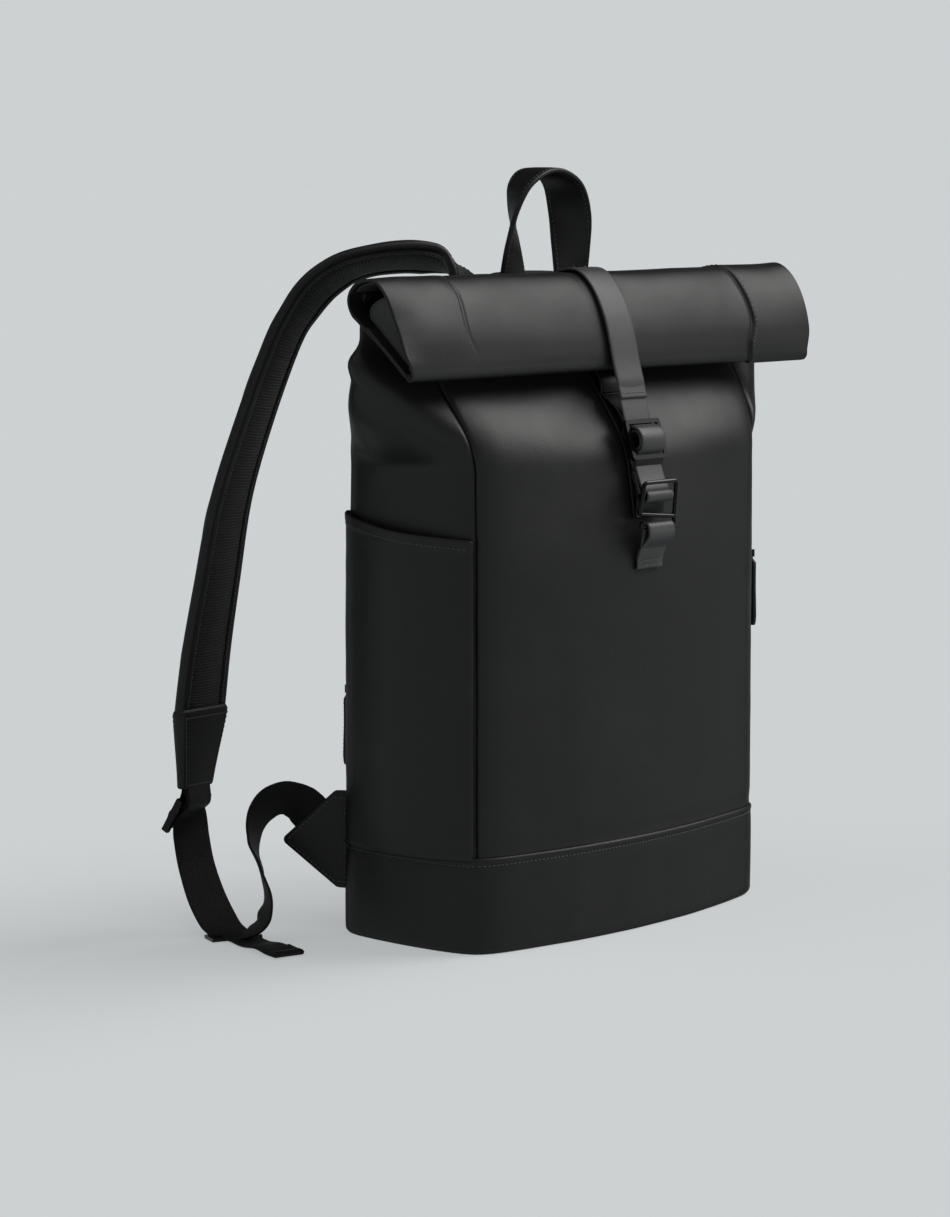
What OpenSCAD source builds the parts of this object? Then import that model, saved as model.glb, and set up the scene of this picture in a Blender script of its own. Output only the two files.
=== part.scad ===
// Roll-top leather backpack, standing on its base with the top rolled and hooked shut.
// +Z is up, -Y is the front, and the origin is the middle of the underside.
// Each sub-part is its own module and its own solid.

/* [Body] */
// Width of the front panel between its side seams
body_w = 306; // [296:1:316]
// Depth of the body from front seam to back
body_d = 124; // [118:1:130]
// Height where the sides start to close towards the mouth
shoulder_z = 322; // [318:1:328]
// Height of the fixed mouth under the roll
mouth_z = 425; // [422:1:428]
// Height of the leather band round the base
base_h = 64; // [56:1:72]
// How far the filled front panel stands out at its middle
front_bulge = 22; // [14:1:24]

/* [Leather] */
// Thickness of the coated leather panels
skin_t = 2; // [1.6:0.1:2.2]
// Thickness of the lining cloth
lining_t = 1; // [0.8:0.1:1.2]
// Air left between neighbouring layers
gap = 0.3; // [0.2:0.05:0.4]

/* [Roll] */
// Height of the top of the roll
crest_z = 450; // [448:1:452]
// Height of the lower front edge of the roll
roll_low_z = 384; // [382:1:386]
// Thickness of the doubled leather in the roll
roll_t = 4; // [3.4:0.1:4.4]

/* [Straps] */
// Width of the closure strap and its buckles' slots
closure_w = 30; // [28:1:32]
// Width of the shoulder pads
pad_w = 58; // [54:1:60]
// Width of the adjusting webbing
web_w = 30; // [26:1:32]
// Thickness of the webbing
web_t = 1.8; // [1.6:0.1:2]

/* [Metal] */
// Thickness of the buckle plates
plate_t = 3; // [2.6:0.1:3.2]
// Radius of the hook's round bar
bar_r = 2.2; // [2:0.1:2.4]

/* [Hidden] */

leather = [0.055, 0.055, 0.058];
cloth = [0.03, 0.03, 0.032];
metal = [0.02, 0.02, 0.022];

half_w = body_w / 2;
half_d = body_d / 2;
mouth_half = 9;
mouth_shift = -9;
side_bulge = 6;
base_flare = 5; // the back of the base stands out below the band's hem
back_bulge = 4;
foam_t = 6;
roll_half = half_w + half_d;

function unit(v) = v / norm(v);

// ---- Section of the body: a closed ring of points at any height and inset ----

front_n = 12;
side_n = 8;
back_n = 8;
ring_n = front_n + 2 * side_n + back_n;
FL = 0;
FR = front_n;
BR = FR + side_n;
BL = BR + back_n;

function ease(s) = s <= 0 ? 0 : s >= 1 ? 1 : s * s * (3 - 2 * s);
function closing(z) = ease((z - shoulder_z) / (mouth_z - shoulder_z));
function depth(z) = half_d + (mouth_half - half_d) * closing(z);
function shift(z) = mouth_shift * closing(z);
function back_y(z) = depth(z) + shift(z) + back_bulge * (1 - closing(z));
function bulge(z) = front_bulge * (1 - ease((z - 240) / (mouth_z - 240)));
function reach(z, b) = half_w + sqrt(side_bulge * side_bulge + half_d * half_d - b * b);
function back_inset(z, t, tb) = t + (tb - t) * (1 - ease((z - 318) / 20));

// Places along the front, side and back of the ring, closer together near the corners
front_k = [-1, -0.93, -0.8, -0.6, -0.4, -0.2, 0, 0.2, 0.4, 0.6, 0.8, 0.93, 1];
side_k = [-1, -0.8, -0.5, -0.25, 0, 0.25, 0.5, 0.8, 1];
back_k = [1, 0.91, 0.72, 0.4, 0, -0.4, -0.72, -0.91, -1];

function raw(i, z, t, tb, puff) = outline(i, z, t, tb, puff) + [0, shift(z)];
function outline(i, z, t, tb, puff) =
    let (b = depth(z), bf = b - t, w = half_w - t,
         bb = b - back_inset(z, t, tb) + base_flare * (1 - ease((z - 40) / 60)),
         a0 = reach(z, b), a = a0 + puff - t * (1 + 0.9 * (a0 - half_w) / b),
         c = closing(z), p = 2 - 0.9 * c + 4.4 * c * (1 - c))
    i < FR
        ? let (k = front_k[i]) [w * k, -bf - bulge(z) * (1 - k * k)]
    : i < BR
        ? let (m = side_k[i - FR])
          [w + (a - w) * (1 - pow(abs(m), p)), m < 0 ? bf * m : bb * m]
    : i < BL
        ? let (k = back_k[i - BR])
          [w * k, bb + back_bulge * (1 - closing(z)) * (1 - k * k)]
    : let (m = -side_k[i - BL])
      [-w - (a - w) * (1 - pow(abs(m), p)), m < 0 ? bf * m : bb * m];

function soften(ring) = [for (i = [0 : ring_n - 1])
    (ring[(i + ring_n - 1) % ring_n] + 2 * ring[i] + ring[(i + 1) % ring_n]) / 4];

function ring(z, t, tb = undef, puff = 0) =
    soften(soften([for (i = [0 : ring_n - 1]) raw(i, z, t, is_undef(tb) ? t : tb, puff)]));

function at(r, u) = let (i = floor(u), f = u - i)
    r[i % ring_n] * (1 - f) + r[(i + 1) % ring_n] * f;

// ---- Solids made of a grid of points on an outer and an inner face ----

// outer and inner are lists of rows of points. The columns close on themselves if closed is true.
module shell(outer, inner, closed = false) {
    rows = len(outer);
    cols = len(outer[0]);
    n = rows * cols;
    last = closed ? cols - 1 : cols - 2;
    function o(r, c) = r * cols + c % cols;
    function q(r, c) = n + r * cols + c % cols;
    quads = concat(
        [for (r = [0 : rows - 2]) for (c = [0 : last]) [o(r, c), o(r + 1, c), o(r + 1, c + 1), o(r, c + 1)]],
        [for (r = [0 : rows - 2]) for (c = [0 : last]) [q(r, c), q(r, c + 1), q(r + 1, c + 1), q(r + 1, c)]],
        [for (c = [0 : last]) [o(0, c), o(0, c + 1), q(0, c + 1), q(0, c)]],
        [for (c = [0 : last]) [o(rows - 1, c + 1), o(rows - 1, c), q(rows - 1, c), q(rows - 1, c + 1)]],
        closed ? [] : [for (r = [0 : rows - 2]) [o(r, 0), q(r, 0), q(r + 1, 0), o(r + 1, 0)]],
        closed ? [] : [for (r = [0 : rows - 2])
            [o(r + 1, cols - 1), q(r + 1, cols - 1), q(r, cols - 1), o(r, cols - 1)]]);
    polyhedron(points = concat([for (row = outer) each row], [for (row = inner) each row]),
               faces = [for (f = quads) each [[f[0], f[1], f[2]], [f[0], f[2], f[3]]]]);
}

function spread(a, b, n) = [for (i = [0 : n]) a + (b - a) * i / n];

// The places along the ring from u0 to u1, through every whole index between them
function stations(u0, u1) = concat([u0], [for (i = [floor(u0) + 1 : ceil(u1) - 1]) i], [u1]);

// Heights for the rows of a skin: every layer shares them, so the layers stay parallel
z_grid = [40, 70, 100, 170, 240, 265, 290, 310, 322, 334, 346, 358, 370, 382, 394, 406, 416];
function levels(z0, z1) = concat([z0], [for (z = z_grid) if (z > z0 + 1 && z < z1 - 1) z], [z1]);

// Part of the body's skin from inset t0 to inset t1, between two places on the ring and two heights
module skin(u0, u1, z0, z1, t0, t1) {
    us = stations(u0, u1);
    function face_rows(t) = [for (z = levels(z0, z1))
        let (r = ring(z, t)) [for (u = us) [at(r, u)[0], at(r, u)[1], z]]];
    shell(face_rows(t0), face_rows(t1));
}

// A closed tube of the body's skin between two heights
module sleeve(z0, z1, t0, t1, tb0 = undef, tb1 = undef) {
    function face_rows(t, tb) = [for (z = levels(z0, z1)) [for (p = ring(z, t, tb)) [p[0], p[1], z]]];
    shell(face_rows(t0, tb0), face_rows(t1, tb1), closed = true);
}

// ---- Body panels ----

seam = 0.03; // ring index, about half a millimetre

module base_floor() {
    color(leather) linear_extrude(skin_t) polygon(ring(0, skin_t + gap));
}

module base_wrap() {
    color(leather) sleeve(0, base_h, 0, skin_t);
}

module base_board() {
    color(cloth) translate([0, 0, skin_t + gap + lining_t + gap]) linear_extrude(2.4)
        polygon(ring(0, 12, 20));
}

module front_panel() {
    color(leather) skin(FL + seam, FR - seam, base_h + gap, mouth_z, 0.4, skin_t + 0.4);
}

module side_panel_left() {
    color(leather) skin(BL + seam, ring_n - seam, base_h + gap, mouth_z, 0.4, skin_t + 0.4);
}

module side_panel_right() {
    color(leather) skin(FR + seam, BR - seam, base_h + gap, mouth_z, 0.4, skin_t + 0.4);
}

module back_panel() {
    color(cloth) skin(BR + seam, BL - seam, base_h + gap, mouth_z, 0.4, skin_t + 0.4);
}

module back_foam() {
    color(cloth) skin(BR + 1.5, BL - 1.5, 100, 310, skin_t + 0.4 + gap, skin_t + 0.4 + foam_t);
}

lining_in = skin_t + 0.4 + gap;
lining_back = lining_in + foam_t + gap;

module lining() {
    color(cloth) union() {
        sleeve(skin_t + gap + lining_t, mouth_z, lining_in, lining_in + lining_t,
               tb0 = lining_back, tb1 = lining_back + lining_t);
        translate([0, 0, skin_t + gap]) linear_extrude(lining_t)
            polygon(ring(skin_t + gap, lining_in, lining_back));
    }
}

sleeve_gap = 16;
module laptop_sleeve() {
    inset = lining_back + lining_t + sleeve_gap;
    color(cloth) translate([-half_w + 24, half_d - inset, 12])
        cube([body_w - 48, lining_t + 0.5, 260]);
}

// The bottle pocket stands off the left side panel, and its hem rises towards the back
pocket_front_z = 276;
pocket_back_z = 290;
module bottle_pocket() {
    us = stations(BL + 0.12, ring_n - 0.12);
    rows = 10;
    function top(u) = pocket_back_z + (pocket_front_z - pocket_back_z) * (u - BL) / side_n;
    function face_rows(t) = [for (r = [0 : rows]) [for (u = us)
        let (z = base_h + gap + (top(u) - base_h - gap) * r / rows, p = at(ring(z, t, undef, 8), u))
        [p[0], p[1], z]]];
    color(leather) shell(face_rows(-1.7), face_rows(0.1));
}

// ---- Zips: a tape with teeth on the skin, a slider that runs on it, and a leather puller ----

// One zip stands upright on a flat patch at pos, facing along dir (degrees about Z)
module zip_tape(pos, dir, z0, z1) {
    color(cloth) translate([pos[0], pos[1], 0]) rotate([0, 0, dir]) union() {
        translate([0, -6.5, z0]) cube([1.2, 13, z1 - z0]);
        translate([1.2, -2.4, z0 + 4]) cube([1.6, 4.8, z1 - z0 - 8]);
    }
}

slider_len = 13;
zip_pin_r = 0.9;
// The slider straddles the teeth and carries a bail with a bore for the puller's pin
module zip_slider(pos, dir, z) {
    color(metal) translate([pos[0], pos[1], z]) rotate([0, 0, dir]) difference() {
        union() {
            translate([1.5, -4.6, -slider_len]) cube([1.6, 1.8, slider_len]);
            translate([1.5, 2.8, -slider_len]) cube([1.6, 1.8, slider_len]);
            translate([3.1, -4.6, -slider_len]) cube([1.4, 9.2, slider_len]);
            translate([4.5, -3.4, -8]) cube([4.2, 1.6, 5.4]);
            translate([4.5, 1.8, -8]) cube([4.2, 1.6, 5.4]);
        }
        translate([6.9, -6, -5.3]) rotate([-90, 0, 0]) cylinder(r = zip_pin_r + 0.05, h = 12, $fn = 32);
    }
}

puller_len = 58;
// A pin through the bail and a long double leather tab
module zip_puller(pos, dir, z) {
    color(leather) translate([pos[0], pos[1], z]) rotate([0, 0, dir]) union() {
        translate([6.9, -3.4, -5.3]) rotate([-90, 0, 0]) cylinder(r = zip_pin_r, h = 6.8, $fn = 32);
        translate([6, -1.5, -12]) cube([1.8, 3, 7.2]);
        translate([4.9, -6.5, -puller_len]) cube([4, 13, puller_len - 11]);
    }
}

// A place just outside the body's skin at a ring index, and the way it faces
function on_skin(u, out) =
    let (r = ring(150, -0.1), p = at(r, u), a = at(r, u - 0.4), b = at(r, u + 0.4), d = unit(b - a))
    [p[0] + d[1] * out, p[1] - d[0] * out, atan2(-d[0], d[1])];

side_zip = on_skin(FR + 1.15, 0.35);
side_zip_z = 250;
back_zip = on_skin(BL - 0.75, 0.6);
back_zip_z = 172;
module side_zip_tape() { zip_tape(side_zip, side_zip[2], 84, side_zip_z + 6); }
module side_zip_slider() { zip_slider(side_zip, side_zip[2], side_zip_z); }
module side_zip_puller() { zip_puller(side_zip, side_zip[2], side_zip_z); }
module back_zip_tape() { zip_tape(back_zip, back_zip[2], 110, 290); }
module back_zip_slider() { zip_slider(back_zip, back_zip[2], back_zip_z); }
module back_zip_puller() { zip_puller(back_zip, back_zip[2], back_zip_z); }

// ---- The roll: sheets of leather bent along X, drawn by their path in the YZ plane ----

// Turns a YZ outline into a solid along X
module along_x(x0, x1) {
    translate([x0, 0, 0]) rotate([90, 0, 90]) linear_extrude(x1 - x0) children();
}

function curve(p, n) = [for (i = [0 : len(p) - 2]) each
    [for (j = [0 : n - 1]) spline(p[max(i - 1, 0)], p[i], p[i + 1], p[min(i + 2, len(p) - 1)], j / n)],
    p[len(p) - 1]];
function spline(a, b, c, d, t) =
    (2 * b + (c - a) * t + (2 * a - 5 * b + 4 * c - d) * t * t + (3 * b - 3 * c + d - a) * t * t * t) / 2;
function side_of(p, i) = let (t = unit(p[min(i + 1, len(p) - 1)] - p[max(i - 1, 0)])) [-t[1], t[0]];

// A strip of thickness t1 - t0 along a YZ path, on its left side
module strip(path, t0, t1) {
    polygon(concat([for (i = [0 : len(path) - 1]) path[i] + side_of(path, i) * t0],
                   [for (i = [len(path) - 1 : -1 : 0]) path[i] + side_of(path, i) * t1]));
}

hinge_y = -3.8;
hinge_z = 438.3;
lift = crest_z - 450;

// Outer faces of the fixed back of the roll, and of the flap from back to front
back_path = curve([[0.2, mouth_z + 1.8], [-1.2, 431], [-4, 437]], 4);
flap_path = curve([[-5.2, 439.5], [-7, 442.5], [-12, 447 + lift], [-21, 449.6 + lift], [-30, 449 + lift],
                   [-38, 443.5], [-45, 434.5], [-51, 422.5], [-55.3, 410], [-57.8, 398], [-58.6, 391.6]], 3);
fold_r = 3.4;
fold_at = [-55, roll_low_z + fold_r];

module roll_back() {
    color(leather) along_x(-roll_half, roll_half) strip(back_path, 0, roll_t);
}

module roll_outer() {
    color(leather) along_x(-roll_half, roll_half) strip(flap_path, 0, roll_t);
}

module roll_patch_left() {
    color(leather) along_x(-roll_half, -roll_half + 62) strip(flap_path, -1.4, -0.2);
}

module roll_patch_right() {
    color(leather) along_x(roll_half - 62, roll_half) strip(flap_path, -1.4, -0.2);
}

inner_len = 40;
inner_dir = [cos(41), sin(41)];
inner_path = spread(fold_at + inner_dir * 2, fold_at + inner_dir * inner_len, 4);

// The mouth of the tube, folded back under the flap, with its rounded fold
module roll_inner() {
    color(leather) union() {
        along_x(-roll_half + 1, roll_half - 1) strip(inner_path, -1.5, 1.5);
        translate([-roll_half + 1, fold_at[0], fold_at[1]]) rotate([0, 90, 0])
            cylinder(r = fold_r, h = 2 * roll_half - 2, $fn = 48);
    }
}

module mouth_stiffener() {
    color(metal) along_x(-roll_half + 20, roll_half - 20)
        strip([for (i = [1 : 4]) inner_path[i]], 1.8, 3.3);
}

// ---- Closure: strap over the roll, slider, hook, and the ladder strip that it hooks into ----

panel_y = -half_d - front_bulge + 0.4; // the front panel's outer face on the centre line
anchor_path = concat([for (z = levels(397, 417)) [back_y(z) + 0.6, z]], [[1.8, 425], [-0.4, 431.5], [-2.6, 437.4]]);

module closure_anchor() {
    color(leather) along_x(-closure_w / 2, closure_w / 2) strip(anchor_path, -2.4, -0.4);
}

module closure_strap() {
    color(leather) along_x(-closure_w / 2, closure_w / 2) strip(flap_path, -2.2, -0.4);
}

module closure_stud() {
    color(metal) translate([0, -21, crest_z + 2.2]) cylinder(r = 4, h = 1.8, $fn = 48);
}

tail_pivot = [-61.6, roll_low_z + 3];
tail_tilt = 17;
web_half = 0.9;
hook_bar_z = -92;
hook_y = -1.4;
hook_low_z = -113;
hook_back = 12; // the hook leans back towards the loop that it holds
sleeve_r = bar_r + 0.05;

// The tail is drawn hanging straight down from its pivot, then tilted forward with the strap's pull
module in_tail() {
    translate([0, tail_pivot[0], tail_pivot[1]]) rotate([-tail_tilt, 0, 0]) children();
}

// Webbing from the strap's end to the sleeve that holds the hook's bar
module tail_web() {
    w = closure_w - 2;
    color(leather) in_tail() difference() {
        union() {
            translate([-w / 2, -web_half, hook_bar_z + 2]) cube([w, 2 * web_half, -hook_bar_z - 2]);
            translate([-w / 2 - 1, -web_half - 1.6, -22]) cube([w + 2, 1.6, 20]);
            translate([-w / 2, hook_y, hook_bar_z]) rotate([0, 90, 0]) cylinder(r = sleeve_r + 1.9, h = w, $fn = 48);
            translate([-w / 2 - 1, 0, 0]) rotate([0, 90, 0]) cylinder(r = 1.9, h = w + 2, $fn = 48);
        }
        translate([-w, hook_y, hook_bar_z]) rotate([0, 90, 0]) cylinder(r = sleeve_r, h = 2 * w, $fn = 48);
    }
}

slider_z = -53;
slider_h = 28;
slider_w = closure_w + 7;
slider_y = -web_half - 0.3;

// Flat buckle with two slots, standing upright with its back face at y
module two_slot_plate(w, h, y, t, slot_w, slot_h, slot_off) {
    r = 3;
    translate([0, y, 0]) rotate([90, 0, 0]) linear_extrude(t) difference() {
        union() {
            square([w - 2 * r, h], center = true);
            square([w, h - 2 * r], center = true);
            for (i = [-1, 1]) for (j = [-1, 1]) translate([i * (w / 2 - r), j * (h / 2 - r)]) circle(r = r, $fn = 32);
        }
        for (j = [-1, 1]) translate([0, j * slot_off]) square([slot_w, slot_h], center = true);
    }
}

module strap_slider() {
    color(metal) in_tail() translate([0, 0, slider_z])
        two_slot_plate(slider_w, slider_h, slider_y, plate_t, closure_w + 0.6, 8.6, 6.7);
}

// The fold of leather that bulges over the slider's middle bar, ending in each of its slots
module slider_fold() {
    color(leather) in_tail() translate([-closure_w / 2 + 1, slider_y - 0.2, slider_z]) rotate([0, 90, 0])
        difference() {
            cylinder(r = 10.4, h = closure_w - 2, $fn = 64);
            translate([0, 0, -1]) cylinder(r = 8.2, h = closure_w, $fn = 64);
            translate([-20, 0, -1]) cube([40, 20, closure_w]);
        }
}

// Top bar in the sleeve, a frame, and the hook that passes through the loop
module hook() {
    side = closure_w / 2 + 2.2;
    color(metal) in_tail() translate([0, hook_y, hook_bar_z]) rotate([hook_back, 0, 0])
        translate([0, -hook_y, -hook_bar_z]) union() {
        translate([-side, hook_y, hook_bar_z]) rotate([0, 90, 0]) cylinder(r = bar_r, h = 2 * side, $fn = 48);
        for (s = [-1, 1]) translate([s * side - 1.6, hook_y - plate_t / 2, -104]) cube([3.2, plate_t, 21]);
        for (s = [-1, 1]) translate([s * side - 1.6, hook_y - plate_t / 2 - 4.5, -86]) cube([3.2, plate_t + 4.5, 4]);
        translate([-side - 1.6, hook_y - plate_t / 2 - 4.5, -85]) cube([2 * side + 3.2, plate_t, 3.4]);
        translate([-side - 1.6, hook_y - plate_t / 2, -106]) cube([2 * side + 3.2, plate_t, 3]);
        translate([side - 1.6, hook_y - plate_t / 2, hook_low_z - 1.5]) cube([3.2, plate_t, 11]);
        translate([-side - 1, hook_y, hook_low_z]) rotate([0, 90, 0]) cylinder(r = 1.5, h = 2 * side + 1, $fn = 40);
        translate([-side - 1, hook_y, hook_low_z]) sphere(r = 2.3, $fn = 40);
    }
}

// Leather strip with three humps, sewn down the middle of the front panel
ladder_top = 372;
ladder_low = 286;
module ladder_strip() {
    steps = 36;
    function exact(z) = -depth(z) + shift(z) - bulge(z);
    function face(z) = let (lo = max([for (g = z_grid) if (g <= z) g]), hi = min([for (g = z_grid) if (g > z) g]))
        exact(lo) + (exact(hi) - exact(lo)) * (z - lo) / (hi - lo);
    function hump(z) = 2.2 * abs(sin(180 * (z - ladder_low) / 27));
    zs = spread(ladder_low, ladder_top, steps);
    color(leather) along_x(-closure_w / 2 - 1, closure_w / 2 + 1)
        polygon(concat([for (z = zs) [face(z) - 0.5 - hump(z), z]],
                       [for (i = [steps : -1 : 0]) [face(zs[i]) - 2 - hump(zs[i]), zs[i]]]));
}

// Loop of leather that the hook goes through, sewn to the panel along its lower edge
hook_reach = hook_bar_z - hook_low_z;
held_y = hook_y + hook_reach * sin(hook_back);
held_z = hook_bar_z - hook_reach * cos(hook_back);
loop_y = tail_pivot[0] + held_z * sin(tail_tilt) + held_y * cos(tail_tilt);
loop_z = tail_pivot[1] + held_z * cos(tail_tilt) - held_y * sin(tail_tilt);
module hook_loop() {
    path = curve([[panel_y - 2.3, 250], [panel_y - 2.3, 256], [panel_y - 5, 264], [loop_y - 2.5, loop_z - 7],
                  [loop_y - 2.5, loop_z], [loop_y, loop_z + 2.5], [loop_y + 2.5, loop_z],
                  [loop_y + 2.5, loop_z - 7], [panel_y - 3.4, 264], [panel_y - 2.5, 256], [panel_y - 2.5, 250]], 5);
    color(leather) along_x(-closure_w / 2 + 1.5, closure_w / 2 - 1.5) difference() {
        polygon([for (i = [0 : len(path) - 1]) path[i] + side_of(path, i) * 1.6]);
        polygon([for (p = path) if (p[1] > 259.5) p]);
    }
}

// ---- Carrying handle and the yoke that holds it and the shoulder straps ----

module strap_yoke() {
    path = [for (z = levels(362, 388)) [back_y(z) + 0.2, z]];
    color(leather) along_x(-92, 92) strip(path, -2, -0.2);
}

handle_w = 30;
handle_t = 3.4;
handle_y = 13;
handle_z = 404;
// Points along the handle, which twists so its width runs along X at the ends and along Y at the top
handle_route = curve([[-31, 0, 0], [-31, 0, 20], [-31, 0, 42], [-31, 0, 64], [-30, 0, 84], [-24, 0, 102],
                      [-13, 0, 112], [0, 0, 115], [13, 0, 112], [24, 0, 102], [30, 0, 84],
                      [31, 0, 64], [31, 0, 42], [31, 0, 20], [31, 0, 0]], 3);
handle_n = len(handle_route) - 1;
function handle_turn(s) = 90 * ease((0.439 - abs(s - 0.5)) / 0.435);

// A ribbon along a route: w0 is each point's width direction, n0 and n1 its faces along the normal
function tangent(p, i) = unit(p[min(i + 1, len(p) - 1)] - p[max(i - 1, 0)]);
function across(p, i, w) = let (t = tangent(p, i)) unit(w - t * (w * t));
function corner(p, i, w, half, n) = let (a = across(p, i, w))
    p[i] + a * half + cross(tangent(p, i), a) * n;

module ribbon(p, ws, width, n0, n1) {
    function face(n) = [for (i = [0 : len(p) - 1])
        let (h = (is_list(width) ? width[i] : width) / 2)
        [for (s = [-1, -0.5, 0, 0.5, 1]) corner(p, i, ws[i], h * s, n)]];
    shell(face(n0), face(n1));
}

module handle() {
    ws = [for (i = [0 : handle_n])
        let (s = i / handle_n, a = handle_turn(s), k = s < 0.5 ? 1 : -1) [k * cos(a), sin(a), 0]];
    color(leather) translate([0, handle_y, handle_z])
        ribbon(handle_route, ws, handle_w, -handle_t / 2, handle_t / 2);
}

// ---- Shoulder straps ----

// Each route is the middle line of one strap, from its top seam to its ladder lock
left_pad = [[-62, 25.3, 392], [-64, 25, 414], [-69.5, 23, 437], [-73.5, 27.5, 449.5], [-80, 35, 456], [-90, 43, 459],
            [-104, 51, 459.5], [-120, 61, 457.5], [-135, 72, 452], [-148, 83, 441], [-158, 92, 425],
            [-167, 101, 402], [-179, 116, 350], [-189, 129, 296], [-194, 138, 240], [-197, 146, 192],
            [-199, 151, 150]];
right_pad = [[62, 25, 392], [62, 24, 412], [62, 31, 431], [63, 48, 440], [66, 70, 442], [70, 94, 440],
             [75, 118, 430], [82, 140, 410], [90, 158, 378], [98, 174, 334], [107, 184, 284],
             [116, 190, 234], [125.5, 190, 190], [133.8, 186.5, 146], [138, 182, 112]];
// Width direction of each pad in degrees from +X: at its top seam, over the arch, hanging, and at its end
left_turn = [12, 46, 22, 13];
right_turn = [-12, -14, -22, -24];

function turned(s, a) = a[0] + (a[1] - a[0]) * ease((s - 0.06) / 0.2) + (a[2] - a[1]) * ease((s - 0.4) / 0.22)
    + (a[3] - a[2]) * ease((s - 0.72) / 0.28);

// Over its arch the left pad tips, so that its front edge is the higher one
left_tip = 18;
function tipped(s, a) = a * ease((s - 0.17) / 0.13) * (1 - ease((s - 0.5) / 0.2));

module pad(route, turn, n0, n1, w, tip = 0) {
    p = curve(route, 3);
    n = len(p) - 1;
    ribbon(p, [for (i = [0 : n])
               let (t = turned(i / n, turn), f = tipped(i / n, tip)) [cos(t) * cos(f), sin(t) * cos(f), -sin(f)]],
           [for (i = [0 : n]) w * (0.7 + 0.3 * ease(i / n / 0.13))], n0, n1);
}

// The mesh faces the wearer's back, and the leather faces out
module pad_left() { color(leather) pad(left_pad, left_turn, -4.5, -0.15, pad_w, left_tip); }
module mesh_left() { color(cloth) pad(left_pad, left_turn, 0.15, 5, pad_w - 3, left_tip); }
module pad_right() { color(leather) pad(right_pad, right_turn, -4.5, -0.15, pad_w); }
module mesh_right() { color(cloth) pad(right_pad, right_turn, 0.15, 5, pad_w - 3); }

function left_dir(a) = [cos(a), sin(a), 0];

// A straight ribbon from one point to another
module bar_ribbon(a, b, dir, w0, w1, n0, n1) {
    p = spread(a, b, 4);
    ribbon(p, [for (q = p) dir], spread(w0, w1, 4), n0, n1);
}

left_end = [-199, 151, 150];
left_patch_end = [-201.4, 154.4, 98];
left_lock = [-202, 155, 88];
right_end = [138, 182, 112];
right_patch_end = [143.9, 175.7, 64];
right_lock = [145, 174.5, 54];
left_face = left_dir(13);
right_face = left_dir(-24);

function step_from(a, b, d) = a + unit(b - a) * d;

module patch_left() {
    color(leather) bar_ribbon(step_from(left_end, left_patch_end, 0.8), left_patch_end, left_face,
                              pad_w + 2, web_w + 8, -5, 5.5);
}
module patch_right() {
    color(leather) bar_ribbon(step_from(right_end, right_patch_end, 1), right_patch_end, right_face,
                              pad_w + 2, web_w + 8, -5, 5.5);
}

lock_r = 1.7;
// Short webbing sewn into the pad, ending in a sleeve round the ladder lock's bar
module short_web(pos, lean, turn) {
    color(cloth) translate(pos) rotate([lean, 0, turn]) difference() {
        union() {
            translate([-web_w / 2 + 1, -web_t / 2, 0]) cube([web_w - 2, web_t, 7.2]);
            translate([-web_w / 2 + 1, 0, 0]) rotate([0, 90, 0]) cylinder(r = lock_r + 1.7, h = web_w - 2, $fn = 40);
        }
        translate([-web_w, 0, 0]) rotate([0, 90, 0]) cylinder(r = lock_r + 0.05, h = 2 * web_w, $fn = 40);
    }
}
module short_web_left() { short_web(left_lock, 4, 13); }
module short_web_right() { short_web(right_lock, -4, -24); }

lock_h = 28;
lock_tilt = 30;
// Ladder lock: side bars on a round pivot bar, with two cross bars for the webbing
module ladder_lock(pos, turn) {
    color(metal) translate(pos) rotate([lock_tilt, 0, turn]) union() {
        rotate([0, 90, 0]) translate([0, 0, -web_w / 2 - 1]) cylinder(r = lock_r, h = web_w + 2, $fn = 40);
        for (s = [-1, 1]) translate([s * (web_w / 2 + 2.2) - 1.8, -1.7, -lock_h + 4]) cube([3.6, 5, lock_h - 2.3]);
        for (z = [-23, -14]) translate([-web_w / 2 - 1, 0.6, z]) cube([web_w + 2, 2.6, 4]);
    }
}
module ladder_lock_left() { ladder_lock(left_lock, 13); }
module ladder_lock_right() { ladder_lock(right_lock, -24); }

// Webbing from each ladder lock down to the floor, and back up to the lower tab
left_down = [[-202, 157, 60], [-204, 151, 42], [-208, 137, 22], [-214, 119, 8], [-217.5, 108.5, 4.8]];
right_down = [[143.5, 172, 27], [146, 166, 19], [151, 157, 13], [157, 146, 11.5]];
left_back = [[-216, 92, 5], [-210, 83, 12], [-205, 82, 27], [-199, 95, 45], [-192, 109, 62], [-185, 111, 77],
             [-177, 105, 86], [-167, 98, 88], [-162, 95.4, 86.4], [-159.1, 91.6, 84.2]];
right_back = [[166, 128, 14], [169, 114, 19], [173, 108, 31], [177, 113, 46], [179.5, 118, 62], [179, 117.5, 77],
              [173.5, 109.5, 88.5], [166.5, 101.5, 89.6], [163.4, 98, 88.4], [160.8, 94.4, 86.2]];
left_back_dirs = [[0.86, 0.5, 0], [0.36, -0.65, 0.66]];
right_back_dirs = [[0.86, 0.4, 0], [0.36, 0.65, -0.66]];

module soft_web(route, d, w) {
    p = curve(route, 4);
    n = len(p) - 1;
    ribbon(p, [for (i = [0 : n]) unit(d[0] * (1 - i / n) + d[1] * i / n)], w, -web_t / 2, web_t / 2);
}
module adjuster_left() { color(cloth) soft_web(left_down, [left_face, [0.9, -0.45, 0]], web_w); }
module adjuster_right() { color(cloth) soft_web(right_down, [right_face, [0.9, 0.4, 0]], web_w); }
module return_web_left() { color(cloth) soft_web(left_back, left_back_dirs, web_w); }
module return_web_right() { color(cloth) soft_web(right_back, right_back_dirs, web_w); }

glide_l = 16;
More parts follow.
